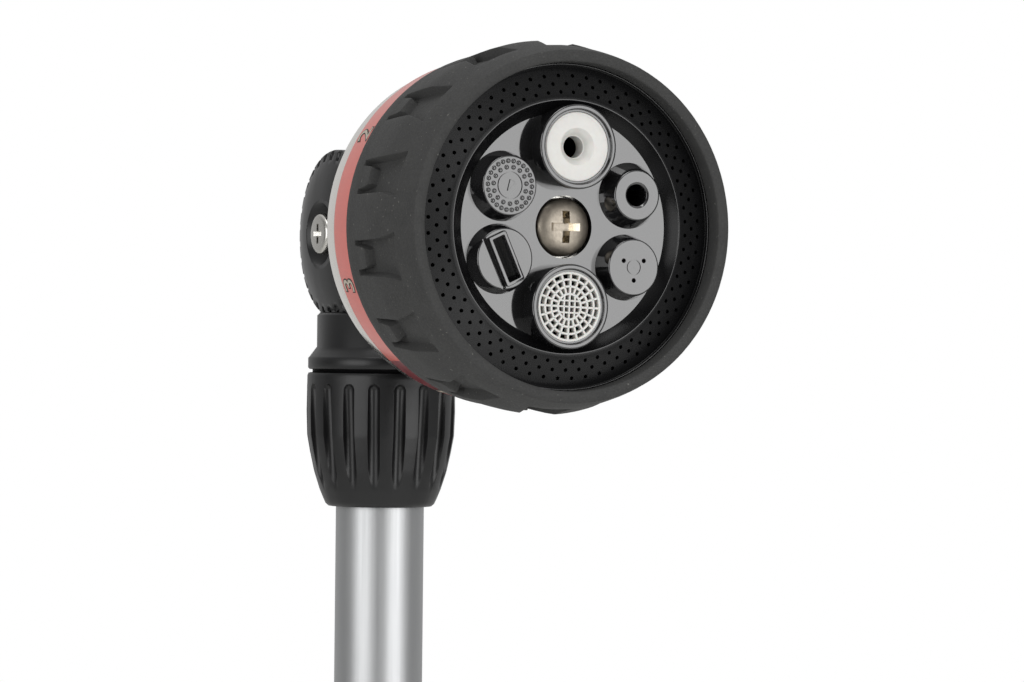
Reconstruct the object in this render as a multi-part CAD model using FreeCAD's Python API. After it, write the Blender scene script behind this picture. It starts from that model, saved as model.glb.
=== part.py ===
"""Telescopic watering wand with a tilting seven-pattern head.

Frame, in millimetres: +Z runs up the tube, and the origin is the centre of the end face of the
hose nose. The head tilts about an X axis at the top of the tube and faces -Y at rest.
Head pieces are first made upright about +Z, where z is the distance from the tilt axis, and
are then laid over by on_head().
"""
import FreeCAD, Part
import math
import os

Vector = FreeCAD.Vector

# ---------------------------------------------------------------- driving dimensions
# telescopic tube
outer_tube_r = 11.0
inner_tube_r = 9.0
tube_wall = 1.0
outer_tube_length = 689.0
inner_tube_length = 640.0
tube_socket_z = 196.0          # where the outer tube ends inside the handle
lock_to_tilt = 45.0            # from the outer tube's top end up to the tilt axis

# fits, gaps and small features used throughout
running_fit = 0.05             # radial, between a shaft or ball and what it turns or slides in
part_gap = 0.4                 # between moving pieces that do not touch
hem = 0.8                      # chamfer or round on the edge of a moulding
over = 1.0                     # how far a cutter runs past the piece it cuts
o_ring_r = 0.9                 # section radius of the larger seals
small_o_ring_r = 0.75
full_turn = 360.0
right_angle = 90.0

# hose nose and its nut
waterway_r = 4.4
nose_tip_r = 6.1
nose_tip_length = 4.6
ring_groove_width = 2.6
ring_groove_r = 4.9
nose_body_r = 7.95
nose_lead_in = 4.4             # from the groove up to the full body
nose_taper = 1.8
nose_body_length = 5.2
nose_lock_r = 6.7
nose_lock_length = 4.0
nose_ramp = 0.6
nose_shoulder_r = 8.6
nut_wall = 3.2
nut_floor = 3.0
nut_z = 24.0
nut_length = 16.0
nut_groove_r = 0.9
nut_groove_start = 2.5
nut_groove_count = 24

# handle core and grip
core_thread_r = 13.2
core_thread_length = 13.0
core_bore_r = 8.0
core_flange_z = 41.0
core_flange_length = 3.0
core_flange_wall = 2.5
grip_core_wall = 1.3           # how far the core behind the grip stands out from the thread
filter_ledge = 2.0
filter_thickness = 1.6
filter_hole_r = 0.9
filter_rows = ((3.2, 8), (6.0, 16))       # radius of a row and its number of holes
grip_top_z = 152.0
grip_swell = 1.4
grip_end_r = 16.2
grip_heights = (4.0, 34.0, 66.0, 88.0)    # flare, palm swell, waist and straight neck
grip_rib_count = 14
grip_rib_start = 16.0
grip_rib_pitch = 5.0
grip_rib_width = 1.4

# valve housing, collar over the tube joint, ball valve
valve_chamber_wall = 1.5       # how far the chamber is outside the tube that enters it
valve_housing_wall = 4.0
valve_housing_top_z = 198.0
valve_chamber_z = 160.0
core_spigot_wall = 3.0
core_top_z = 222.0
tube_collar_top_z = 240.0
tube_collar_wall = 2.4
tube_collar_cone = 2.2
tube_collar_lip = 1.2
tube_collar_band = 8.0
tube_seal_z = 6.1              # above the tube's lower end
tube_seal_r = 0.54
ball_r = 10.0
ball_z = 174.0
ball_port_r = 5.5
seat_depth = 8.0
seat_lip = 0.5
stem_r = 3.5
stem_socket = 3.0
stem_screw_r = 1.5
stem_screw_depth = 4.0

# thumb lever
lever_arm_thickness = 3.0
lever_inner_r = 29.0
lever_outer_r = 32.5
lever_pad_thickness = 1.6
lever_pad_inset = 1.5
lever_half_angle = 9.0
lever_pad_angle = 7.8
lever_closed_angle = -45.0
lever_arm_width = 9.0
lever_eye_wall = 2.5
lever_screw_head_r = 4.2
lever_screw_head = 1.8
lever_slot = (5.2, 1.0, 0.9)   # length, width and depth

# twist lock at the top of the outer tube, heights measured down from the tilt axis
collar_top = 34.4
collar_bottom = 67.6
collar_wall = 5.45             # outside the ferrule, at the top
collar_round = 0.7
collar_belly = (0.11, 9.6)     # swell beyond the top's radius, and how far down
collar_waist = (0.1, 15.6)     # pull-in and how far down
collar_cone = (1.91, 24.6)
collar_foot_wall = 2.3         # outside the tube
collar_foot_rise = 2.2
collar_foot_flare = 1.0
flute_count = 18
flute_r = 1.45
flute_depth = 1.2              # from the collar's top radius down to the flute's floor
flute_top = 38.55
flute_lean = 4.5               # how much the flutes lean in with the taper, degrees
ferrule_wall = 2.0
ferrule_length = 15.0
bush_length = 25.0
bush_head = 2.5
collet_length = 4.5
collet_slot = 2.0
collet_taper = (0.6, 2.0)      # below the ferrule's radius at the foot and at the top

# neck and tilt drum
neck_r = 16.15
flange_step = 0.15             # the flange is this much smaller than the collar below it
flange_top = 30.4
flange_bottom = 33.6
flange_slope = 2.4             # height of the slope from the flange up to the neck
flange_foot_r = 17.2           # spigot under the flange that nearly meets the twist lock
drum_r = 21.0
drum_rim_x = 13.9
drum_dome_x = 17.2
drum_gap = 0.2                 # half of the gap between the two drum halves
drum_rim_round = 1.2
drum_dome_swell = (0.8, 0.35)  # how far the face bows out from a straight cone
drum_neck_step = 1.6           # the neck starts this far inside the drum's edge
nick_count = 30
nick_size = (0.9, 1.4, 2.6)    # depth, width and length
saddle_gap = 3.0               # radial room on the neck for the head's half of the drum
screw_well_r = 7.8
screw_well_x = 10.0
tilt_chamber_r = 12.0
tilt_chamber_x = 8.5
tilt_screw_r = 2.4
tilt_head_r = 5.0
tilt_head = 7.0                # a tall cheese head that fills the well to its rim
tilt_washer_rim = 1.2
tilt_washer_thickness = 0.8
tilt_slot = (6.0, 1.2, 1.4)
tilt_spigot_x = 3.2
tilt_spigot_wall = 2.4
tilt_post_x = (4.0, 11.5)
tilt_insert_wall = 1.8
tilt_insert_length = 7.4
tilt_insert_cover = 0.6        # wall left outside the insert
friction_ring_rim = 1.5
friction_ring_hub = 2.5
friction_ring_depth = 1.0
neck_riser_x = 5.9
neck_riser_r = 2.5
neck_crossing = (-0.5, 2.0)    # from the plug's top, the way across to the riser
tube_plug_length = 20.0
tube_stop = 27.0               # inner tube's top end, below the tilt axis
groove_depth = 1.85            # for a large seal
groove_width = 1.8
piston_length = 18.0
piston_tail = 16.0
piston_wall = 1.0
piston_ring_shares = (0.3, 0.7)
piston_groove_width = 2.0
piston_groove_depth = 1.8

# head, distances measured out from the tilt axis along the head's own axis
arm_half_height = 9.0
arm_reach = 36.0
arm_cover = 1.5                # how far the arm stands out past the drum's rim
arm_round = 2.4
bell_step = 0.9                # the bell's rim is this much smaller than the dial's barrel
bell_wall = 2.2
bell_start = 22.0
bell_neck_r = 7.0
bell_throat = (9.2, 27.0)
bell_shoulder = (16.0, 36.0)
bell_swell = (27.0, 43.2)
bell_inset_shares = (0.5, 0.6)
bell_rim = 60.0
duct_r = 4.4
duct_x = 6.6
duct_start = 7.5
ring_back = 53.9
ring_front = 60.2
ring_back_wall = 0.8
ring_front_wall = 1.7
ring_edge = 0.5
plate_back = 57.0
plate_front = 63.0
plate_rim = 1.4
plate_seal_z = 59.0
plate_seal_r = 0.85
spindle_r = 6.0
spindle_shoulder = 3.0
spindle_end = 94.0
outlet_radius = 18.2           # from the head's axis to every port and nozzle
outlet_boss_r = 8.5
outlet_boss_front = 65.6
outlet_bore_r = 3.4
seal_r = 6.0
seal_length = 4.5
seal_floor = 1.5
outlet_spring_wire = 0.45
outlet_spring_coils = 2.5
detent_radius = 29.0
detent_ball_r = 2.0
detent_floor = 2.0
detent_depth = 0.6             # how deep the ball sits in a pocket
detent_spring_wire = 0.3
detent_spring_coils = 3
plate_screw_radius = 31.0
plate_screw_r = 1.4
plate_screw_length = 14.0
plate_screw_head = 1.8
plate_screw_head_wall = 1.4
plate_screw_count = 4
plate_screw_first = 45.0
plate_boss_wall = 1.8
plate_boss_length = 15.0

# spray dial
dial_back = 60.6
dial_shell_r = 39.2
dial_shell_wall = 1.9
dial_front = 99.2
dial_web = 1.6
dial_web_bite = 0.2
port_plate_back = 66.5
port_plate_front = 70.5
hub_r = 8.2
hub_gap = 0.2
feed_r = 1.6
feed_count = 6
feed_first = 30.0
rubber_back = 69.6
rubber_back_wall = 2.2
rubber_crest_wall = 3.8
rubber_crest_back = 88.0
rubber_front = 104.5
rubber_front_wall = 1.1
rubber_bevel = (1.9, 99.8)
rubber_nose_drop = 1.7
rubber_round = 1.2
rubber_lip_step = 0.1          # the rubber's lip is this much outside the barrel's bore
pocket_count = 14
pocket_width = 8.2
pocket_depth = 2.0
pocket_back = 75.5
pocket_front = 97.0
pocket_edge = 0.6
tread_width = 5.8
tread_height = 0.7
tread_front = 82.0
band_wall = 1.1
band_flare = 0.5
band_gap = 0.1
shower_ridge = 0.4             # thickness of the ridge round the shower ring
shower_ridge_rise = 0.9
shower_inner_r = 28.9
shower_outer = 98.9
shower_inner = 100.9
shower_thickness = 1.8
shower_hole_r = 0.45
shower_first_row = 2.4         # from the ring's outer edge in to the first row of holes
shower_row_pitch = 1.9
shower_row_count = 3
shower_per_row = 60
face_front = 98.8
face_thickness = 2.0
face_edge_r = 26.0
face_r = 27.6
barrel_r = 29.9
barrel_wall = 1.6
screw_head_r = 6.7
screw_head_well = 7.2
screw_head_sink = 1.0
screw_head_rise = 2.4
screw_dome = (0.62, 1.65)      # share of the radius and height of a point on the dome
screw_cross = (6.2, 1.5, 2.6)  # length, width and depth
dial_screw_r = 2.4
dial_screw_length = 18.0
washer_thickness = 1.2
washer_rim = 1.1
dial_turn = -2.5               # how far the dial is turned from square, degrees

# nozzles: angle before the dial's turn, radius at the face and at the top, height of the top
small_angle = 27.0
jet_sizes = (small_angle, 7.6, 5.7, 4.5)
cone_sizes = (-small_angle, 7.6, 6.4, 4.5)
flat_sizes = (180.0 + small_angle, 8.0, 6.8, 4.5)
mist_sizes = (180.0 - small_angle, 8.0, 6.7, 4.5)
soft_sizes = (90.0, 9.7, 9.7, 5.6)
soaker_sizes = (270.0, 9.7, 9.7, 5.6)
nozzle_barrel_r = 6.0
nozzle_shoulder = 7.0          # depth of the wide part behind the face
nozzle_funnel = 2.0
nozzle_bore_r = 3.6
nozzle_cap = 1.5
nozzle_round = 0.4
nozzle_drill = 3.0
jet_hole_r = 2.5
cone_hole_r = 0.5
cone_holes = (3.0, 3, 60.0)    # radius of the row, number of holes, angle of the first
mist_hole_r = 0.35
mist_rows = ((5.5, 24), (4.1, 14))
mist_chamber = (3.4, 6.0, 1.5)
flat_slot = (3.3, 10.6)
cup_bore_r = 8.0
soft_depth = 6.4
soft_rim = 0.7
soft_funnel = (4.7, 3.6, 2.8)
soft_funnel_depths = (1.3, 3.0)
soaker_depth = 8.0
grille_depths = (0.6, 2.2, 4.2)
grille_rim = 0.6
grille_rings = (2.9, 4.6, 6.1)
grille_ring_half = 0.25
grille_spoke_count = 20
grille_spoke_half = 0.22
grille_bar_half = 0.2
grille_bar_pitch = 1.35

# worked out from the above
tube_top_z = tube_socket_z + outer_tube_length
tilt_z = tube_top_z + lock_to_tilt
outer_bore_r = outer_tube_r - tube_wall
inner_bore_r = inner_tube_r - tube_wall
inner_top_z = tilt_z - tube_stop
inner_end_z = inner_top_z - inner_tube_length
nut_r = core_thread_r + nut_wall
grip_core_r = core_thread_r + grip_core_wall
core_flange_r = grip_core_r + core_flange_wall
core_thread_z = core_flange_z - core_thread_length
grip_low_z = core_flange_z + core_flange_length
valve_chamber_r = outer_tube_r + valve_chamber_wall
valve_chamber_top_z = 2 * ball_z - valve_chamber_z
valve_housing_r = valve_chamber_r + valve_housing_wall
core_spigot_r = outer_tube_r + core_spigot_wall
tube_collar_top_r = outer_tube_r + tube_collar_wall
stem_inner_x = ball_r - stem_socket
stem_ring_x = (valve_chamber_r + valve_housing_r) / 2
lever_arm_x = valve_housing_r + part_gap
lever_half_width = lever_arm_x + lever_arm_thickness
ferrule_r = outer_tube_r + ferrule_wall
collar_top_r = ferrule_r + collar_wall
collar_foot_r = outer_tube_r + collar_foot_wall
flute_floor_r = collar_top_r - flute_depth
flange_r = collar_top_r - flange_step
neck_top = drum_r - drum_neck_step
saddle_r = drum_r + saddle_gap
tilt_spigot_r = tilt_chamber_r - running_fit
bell_rim_r = dial_shell_r - bell_step
bell_bore_r = bell_rim_r - bell_wall
ring_back_r = bell_rim_r + ring_back_wall
ring_front_r = bell_rim_r + ring_front_wall
dial_bore_r = dial_shell_r - dial_shell_wall
rubber_back_r = dial_shell_r + rubber_back_wall
rubber_crest_r = dial_shell_r + rubber_crest_wall
rubber_front_r = dial_shell_r + rubber_front_wall
rubber_lip_r = dial_bore_r + rubber_lip_step
band_r = dial_shell_r + band_wall
shower_outer_r = dial_bore_r - shower_ridge
shower_rows = [shower_outer_r - shower_first_row - row * shower_row_pitch for row in range(shower_row_count)]
feed_radius = (barrel_r + dial_bore_r) / 2


# ---------------------------------------------------------------- shape helpers
def cylinder(radius, low, high, x=0.0, y=0.0):
    return Part.makeCylinder(radius, high - low, Vector(x, y, low))


def ring(inner, outer, low, high, x=0.0, y=0.0):
    return cylinder(outer, low, high, x, y).cut(cylinder(inner, low, high, x, y))


def rod_x(radius, low, high, y=0.0, z=0.0):
    """A cylinder that runs along X."""
    return Part.makeCylinder(radius, high - low, Vector(low, y, z), Vector(1, 0, 0))


def block(x_span, y_span, z_span):
    corner = Vector(x_span[0], y_span[0], z_span[0])
    sizes = [span[1] - span[0] for span in (x_span, y_span, z_span)]
    return Part.makeBox(sizes[0], sizes[1], sizes[2], corner)


def middle(width):
    """A span of this width about zero."""
    return (-width / 2, width / 2)


def turned(start, *steps):
    """A solid turned about Z. A step of two numbers is a straight run to (r, z);
    a step of four numbers is an arc through the first point to the second."""
    here = Vector(start[0], 0, start[1])
    first = here
    edges = []
    for step in steps:
        end = Vector(step[-2], 0, step[-1])
        if len(step) == 4:
            bow = Vector(step[0], 0, step[1])
            edges.append(Part.Arc(here, bow, end).toShape())
        else:
            edges.append(Part.LineSegment(here, end).toShape())
        here = end
    edges.append(Part.LineSegment(here, first).toShape())
    solid = Part.Face(Part.Wire(edges)).revolve(Vector(), Vector(0, 0, 1), full_turn)
    if solid.Volume < 0:
        solid.reverse()
    return solid


def o_ring(centre_r, section_r, z):
    return Part.makeTorus(centre_r, section_r, Vector(0, 0, z), Vector(0, 0, 1))


def o_ring_x(centre_r, section_r, x, z=0.0):
    """A seal round a shaft that runs along X."""
    return Part.makeTorus(centre_r, section_r, Vector(x, 0, z), Vector(1, 0, 0))


def spring(coil_r, wire_r, low, high, coils):
    """A round-wire coil whose outside faces stay between low and high."""
    height = high - low - 2 * wire_r
    helix = Part.makeHelix(height / coils, height, coil_r)
    section = Part.Wire([Part.makeCircle(wire_r, Vector(coil_r, 0, 0), Vector(0, 1, 0))])
    coil = Part.Wire(helix).makePipeShell([section], True, True)
    coil.translate(Vector(0, 0, low + wire_r))
    return coil


def around(shape, count, first=0.0, axis=Vector(0, 0, 1)):
    """Copies of a shape spread evenly about an axis."""
    copies = []
    for index in range(count):
        copy = shape.copy()
        copy.rotate(Vector(), axis, first + index * full_turn / count)
        copies.append(copy)
    return copies


def mirrored_x(shape):
    return shape.mirror(Vector(), Vector(1, 0, 0))


def moved(shape, x, y, z):
    copy = shape.copy()
    copy.translate(Vector(x, y, z))
    return copy


def polar(radius, angle):
    turn = math.radians(angle)
    return radius * math.cos(turn), radius * math.sin(turn)


def cross_slot(face, sizes, z=0.0):
    """Cutters for a cross recess in the head of a screw along X whose face is at x = face."""
    length, width, depth = sizes
    span = sorted((face - math.copysign(depth, face), face + math.copysign(over, face)))
    tall = [edge + z for edge in middle(length)]
    flat = [edge + z for edge in middle(width)]
    return [block(span, middle(width), tall), block(span, middle(length), flat)]


def on_tilt(shape):
    """Lifts a piece drawn about the tilt axis to where that axis is."""
    return moved(shape, 0, 0, tilt_z)


def on_head(shape):
    """Lays a piece drawn about +Z over to face -Y, and lifts it to the tilt axis."""
    copy = shape.copy()
    copy.rotate(Vector(), Vector(1, 0, 0), right_angle)
    return on_tilt(copy)


def on_dial(shape):
    """As on_head, with the dial's own turn."""
    copy = shape.copy()
    copy.rotate(Vector(), Vector(0, 0, 1), dial_turn)
    return on_head(copy)


# ---------------------------------------------------------------- tubes and twist lock
def outer_tube():
    return ring(outer_bore_r, outer_tube_r, tube_socket_z, tube_top_z)


def inner_tube():
    return ring(inner_bore_r, inner_tube_r, inner_end_z, inner_top_z)


def top_bush():
    bore = inner_tube_r + running_fit
    sleeve = ring(bore, outer_bore_r, tube_top_z - bush_length, tube_top_z)
    return sleeve.fuse(ring(bore, outer_tube_r, tube_top_z, tube_top_z + bush_head))


def lock_ferrule():
    return ring(outer_tube_r, ferrule_r, tube_top_z - ferrule_length, tube_top_z)


def lock_collet():
    """Split ring that the collar squeezes on to the inner tube."""
    low = tube_top_z + bush_head + part_gap
    high = low + collet_length
    bore = inner_tube_r + running_fit
    body = turned((bore, low), (ferrule_r - collet_taper[0], low), (ferrule_r - collet_taper[1], high),
                  (bore, high))
    slot = block((0, ferrule_r), middle(collet_slot), (low - over, high + over))
    return body.cut(slot)


def lock_collar():
    top = -collar_top
    foot = -collar_bottom
    collet_top = -lock_to_tilt + bush_head + part_gap + collet_length
    ferrule_foot = -lock_to_tilt - ferrule_length - part_gap
    bore = outer_tube_r + part_gap
    hem_r = collar_top_r - collar_round
    bow = collar_round * (1 - math.sqrt(0.5))
    body = turned(
        (inner_tube_r + part_gap, top), (hem_r, top),
        (collar_top_r - bow, top - bow, collar_top_r, top - collar_round),
        (collar_top_r + collar_belly[0], top - collar_belly[1]),
        (collar_top_r - collar_waist[0], top - collar_waist[1]),
        (collar_top_r - collar_cone[0], top - collar_cone[1],
         collar_foot_r + collar_foot_flare, foot + collar_foot_rise),
        (collar_foot_r + bow, foot + hem, collar_foot_r - hem, foot),
        (bore, foot), (bore, ferrule_foot),
        (ferrule_r + running_fit, ferrule_foot),
        (ferrule_r + running_fit, collet_top + part_gap),
        (inner_tube_r + part_gap, collet_top + part_gap))
    centre = flute_floor_r + flute_r
    flute = cylinder(flute_r, foot - over, -flute_top, centre)
    flute = flute.fuse(Part.makeSphere(flute_r, Vector(centre, 0, -flute_top)))
    flute.rotate(Vector(centre, 0, -flute_top), Vector(0, 1, 0), flute_lean)
    body = body.cut(around(flute, flute_count))
    return on_tilt(body)


# ---------------------------------------------------------------- neck and slide
def drum_half():
    """Half of the tilt drum about the X axis, on the -X side, with a domed outer face."""
    rim_r = drum_r - drum_rim_round
    bow = drum_rim_round * (1 - math.sqrt(0.5))
    dome_r = (rim_r + screw_well_r) / 2 + drum_dome_swell[0]
    dome_x = (drum_rim_x + drum_dome_x) / 2 + drum_dome_swell[1]
    profile = turned(
        (0, drum_gap), (drum_r, drum_gap), (drum_r, drum_rim_x - drum_rim_round),
        (drum_r - bow, drum_rim_x - bow, rim_r, drum_rim_x),
        (dome_r, dome_x, screw_well_r, drum_dome_x), (0, drum_dome_x))
    profile.rotate(Vector(), Vector(0, 1, 0), -right_angle)
    return profile


def notched(half):
    """Cuts the row of small nicks round the drum's outer rim."""
    depth, width, length = nick_size
    nick = block((-drum_dome_x, -drum_rim_x + depth), middle(width), (drum_r - length, drum_r + over))
    return half.cut(around(nick, nick_count, 0.0, Vector(1, 0, 0)))


def neck():
    """One moulding: drum half, neck, flange and the plug that goes into the inner tube."""
    plug_foot = -tube_stop - tube_plug_length
    flange_hem = flange_r - hem / 2
    foot = -collar_top + running_fit
    body = turned(
        (0, plug_foot), (inner_bore_r, plug_foot),
        (inner_bore_r, -tube_stop), (inner_tube_r, -tube_stop), (inner_tube_r, foot),
        (flange_foot_r, foot), (flange_foot_r, -flange_bottom),
        (flange_hem, -flange_bottom), (flange_r, -flange_bottom + hem / 2), (flange_r, -flange_top - hem / 2),
        (flange_hem, -flange_top), (neck_r, -flange_top + flange_slope),
        (neck_r, -neck_top - hem), (neck_r - hem, -neck_top), (0, -neck_top))
    right_side = rod_x(saddle_r, -drum_gap, neck_r + over)
    body = body.cut(right_side)
    body = body.fuse(notched(drum_half()))
    well = rod_x(screw_well_r, -drum_dome_x - over, -screw_well_x)
    chamber = rod_x(tilt_chamber_r, -tilt_chamber_x, over)
    screw_hole = rod_x(tilt_screw_r + running_fit, -screw_well_x - over, 0)
    crossing = [rise - tube_stop for rise in neck_crossing]
    waterway = cylinder(waterway_r, plug_foot - over, -tube_stop + over)
    riser = cylinder(neck_riser_r, crossing[0], 0, -neck_riser_x)
    entry = block((-neck_riser_x, 0), (-neck_riser_r, neck_riser_r), crossing)
    groove_z = -tube_stop - tube_plug_length / 2
    groove_span = [groove_z + edge for edge in middle(groove_width)]
    groove = ring(inner_bore_r - groove_depth, inner_bore_r + over, *groove_span)
    return on_tilt(body.cut([well, chamber, screw_hole, waterway, riser, entry, groove]))


def neck_o_ring():
    return on_tilt(o_ring(inner_bore_r - groove_depth + o_ring_r, o_ring_r, -tube_stop - tube_plug_length / 2))


def piston_ring_heights():
    return [inner_end_z - piston_length * share for share in piston_ring_shares]


def slide_piston():
    """Guide fixed in the inner tube's lower end; its two grooves hold the sliding seals."""
    outer = outer_bore_r - running_fit
    low = inner_end_z - piston_length
    bore = waterway_r + piston_wall
    body = turned((bore, low), (outer - hem, low), (outer, low + hem), (outer, inner_end_z),
                  (inner_bore_r, inner_end_z), (inner_bore_r, inner_end_z + piston_tail),
                  (bore, inner_end_z + piston_tail))
    half = piston_groove_width / 2
    floor = outer - piston_groove_depth
    return body.cut([ring(floor, outer + over, z - half, z + half) for z in piston_ring_heights()])


def slide_o_rings():
    centre = outer_bore_r - running_fit - o_ring_r
    return Part.makeCompound([o_ring(centre, o_ring_r, z) for z in piston_ring_heights()])


# ---------------------------------------------------------------- tilt joint
def tilt_screw():
    """Cheese-head screw along X, from the neck's side into the insert in the head's drum."""
    seat = -screw_well_x - tilt_washer_thickness
    face = seat - tilt_head
    head = rod_x(tilt_head_r, face, seat)
    shank = rod_x(tilt_screw_r, seat, drum_rim_x - tilt_insert_cover)
    return on_tilt(head.fuse(shank).cut(cross_slot(face, tilt_slot)))


def tilt_washer():
    washer_r = tilt_head_r + tilt_washer_rim
    outer = rod_x(washer_r, -screw_well_x - tilt_washer_thickness, -screw_well_x - running_fit)
    return on_tilt(outer.cut(rod_x(tilt_screw_r, -screw_well_x - over, -screw_well_x)))


def insert_rod(radius, past=0.0):
    """The space of the threaded insert, at this radius."""
    high = drum_rim_x - tilt_insert_cover
    return rod_x(radius, high - tilt_insert_length - past, high + past)


def tilt_insert():
    """Brass threaded insert in the head's drum half."""
    insert_r = tilt_screw_r + tilt_insert_wall
    return on_tilt(insert_rod(insert_r).cut(insert_rod(tilt_screw_r, over)))


def tilt_o_ring():
    return on_tilt(o_ring_x(tilt_spigot_r - o_ring_r, o_ring_r, -tilt_spigot_x / 2))


def friction_ring():
    outer = rod_x(drum_r - friction_ring_rim, -drum_gap + running_fit, drum_gap + friction_ring_depth)
    inner = rod_x(tilt_chamber_r + friction_ring_hub, -over, drum_gap + friction_ring_depth + over)
    return on_tilt(outer.cut(inner))


# ---------------------------------------------------------------- head, fixed pieces
def bell_profile(inset):
    """The bell's outline, moved in by its wall when inset is not zero."""
    near, far = bell_inset_shares
    rim_r = bell_rim_r - inset
    return [(bell_neck_r - inset * near, bell_start + inset * 2),
            (bell_throat[0] - inset * far, bell_throat[1] + inset),
            (bell_shoulder[0] - inset, bell_shoulder[1] + inset),
            (bell_swell[0] - inset, bell_swell[1] + inset, rim_r, ring_back - over), (rim_r, bell_rim)]


def plate_screw_places():
    pitch = full_turn / plate_screw_count
    return [polar(plate_screw_radius, plate_screw_first + index * pitch) for index in range(plate_screw_count)]


def head_housing():
    """Rear half of the head: its drum half, the arm, and the bell that the water fills."""
    outside = bell_profile(0.0)
    bell = turned((0, bell_start), *outside, (0, bell_rim))
    inside = bell_profile(bell_wall)
    room = turned((0, inside[0][1]), *inside, (bell_bore_r, bell_rim + over), (0, bell_rim + over))
    arm = block((drum_gap, drum_rim_x + arm_cover), middle(2 * arm_half_height), (0, arm_reach))
    arm = arm.makeFillet(arm_round, [edge for edge in arm.Edges if edge.Length > arm_reach - over])
    boss_r = plate_screw_r + plate_boss_wall
    bosses = [cylinder(boss_r, plate_back - plate_boss_length, plate_back, x, y) for x, y in plate_screw_places()]
    body = bell.cut(room)
    body = body.fuse([boss.common(bell) for boss in bosses])
    body = body.fuse(arm.cut(room))
    spigot = rod_x(tilt_spigot_r, -tilt_spigot_x, drum_gap + over)
    body = body.fuse([mirrored_x(drum_half()), spigot])
    chamber = rod_x(tilt_spigot_r - tilt_spigot_wall, -tilt_spigot_x - over, tilt_post_x[1] - hem / 2)
    post = rod_x(tilt_head_r, *tilt_post_x)
    screw_bore = rod_x(tilt_screw_r, tilt_post_x[0] - over, drum_rim_x - tilt_insert_cover)
    body = body.cut(chamber).fuse(post).cut([insert_rod(tilt_screw_r + tilt_insert_wall), screw_bore])
    groove_span = [edge - tilt_spigot_x / 2 for edge in middle(piston_groove_width)]
    groove = rod_x(tilt_spigot_r + over, *groove_span)
    groove = groove.cut(rod_x(tilt_spigot_r - piston_groove_depth, -tilt_spigot_x, 0))
    recess = rod_x(drum_r - friction_ring_rim, drum_gap - over, drum_gap + friction_ring_depth)
    recess = recess.cut(rod_x(tilt_chamber_r + friction_ring_hub, -over, drum_gap + friction_ring_depth + over))
    duct = cylinder(duct_r, duct_start, arm_reach + 2 * duct_r, duct_x)
    duct = duct.cut(post)
    pilot_back = plate_front - plate_screw_head - plate_screw_length - over
    pilots = [cylinder(plate_screw_r, pilot_back, plate_back + over, x, y) for x, y in plate_screw_places()]
    return on_head(body.cut([groove, recess, duct] + pilots))


def trim_ring():
    """Bright ring pressed over the bell's rim, behind the label band."""
    body = turned((bell_rim_r, ring_back), (ring_back_r - ring_edge, ring_back),
                  (ring_back_r, ring_back + ring_edge), (ring_front_r, ring_front - ring_edge),
                  (ring_front_r - ring_edge, ring_front),
                  (bell_rim_r, ring_front))
    return on_head(body)


def outlet_place():
    return polar(outlet_radius, right_angle)


def detent_place():
    return polar(detent_radius, right_angle)


def valve_plate():
    """Front wall of the water room, with the spindle, the outlet and the click pocket."""
    x, y = outlet_place()
    click_x, click_y = detent_place()
    seal_span = [plate_seal_z + edge for edge in middle(piston_groove_width)]
    body = cylinder(bell_bore_r, plate_back, bell_rim)
    body = body.fuse([cylinder(bell_rim_r - plate_rim, bell_rim, plate_front),
                      cylinder(spindle_r + spindle_shoulder, plate_front, port_plate_back - part_gap),
                      cylinder(spindle_r, plate_front, spindle_end),
                      cylinder(outlet_boss_r, plate_back, outlet_boss_front, x, y)])
    cuts = [cylinder(outlet_bore_r, plate_back - over, outlet_boss_front + over, x, y),
            cylinder(seal_r, plate_back + seal_floor, outlet_boss_front + over, x, y),
            cylinder(detent_ball_r, plate_back + detent_floor, plate_front + over, click_x, click_y),
            cylinder(dial_screw_r, spindle_end - dial_screw_length - 2 * over, spindle_end + over),
            ring(bell_bore_r - 2 * plate_seal_r, bell_bore_r + over, *seal_span)]
    head_r = plate_screw_r + plate_screw_head_wall
    sink = plate_front - plate_screw_head - hub_gap
    for place in plate_screw_places():
        cuts.append(cylinder(plate_screw_r, plate_back - over, plate_front + over, *place))
        cuts.append(cylinder(head_r, sink, plate_front + over, *place))
    return on_head(body.cut(cuts))


def plate_o_ring():
    return on_head(o_ring(bell_bore_r - plate_seal_r, plate_seal_r, plate_seal_z))


def plate_screws():
    """The four self-tapping screws that hold the valve plate in the bell."""
    screws = []
    seat = plate_front - plate_screw_head - hub_gap
    for place in plate_screw_places():
        shank = cylinder(plate_screw_r, seat - plate_screw_length, seat, *place)
        head = cylinder(plate_screw_r + plate_screw_head_wall, seat, seat + plate_screw_head, *place)
        screws.append(on_head(shank.fuse(head)))
    return Part.makeCompound(screws)


def outlet_seal():
    """Rubber cup that the spring holds against the dial's port plate."""
    x, y = outlet_place()
    return on_head(ring(outlet_bore_r, seal_r, port_plate_back - seal_length, port_plate_back - running_fit, x, y))


def outlet_spring():
    x, y = outlet_place()
    coil_r = (outlet_bore_r + seal_r) / 2
    coil = spring(coil_r, outlet_spring_wire, plate_back + seal_floor, port_plate_back - seal_length,
                  outlet_spring_coils)
    return on_head(moved(coil, x, y, 0))


def detent_ball():
    x, y = detent_place()
    centre = Vector(x, y, port_plate_back - running_fit - detent_ball_r)
    return on_head(Part.makeSphere(detent_ball_r, centre))


def detent_spring():
    x, y = detent_place()
    coil_r = detent_ball_r - 2 * detent_spring_wire
    high = port_plate_back - 2 * detent_ball_r - 2 * running_fit
    coil = spring(coil_r, detent_spring_wire, plate_back + detent_floor, high, detent_spring_coils)
    return on_head(moved(coil, x, y, 0))


def dial_washer():
    return on_head(ring(dial_screw_r, screw_head_r + washer_rim, spindle_end, spindle_end + washer_thickness))


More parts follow.
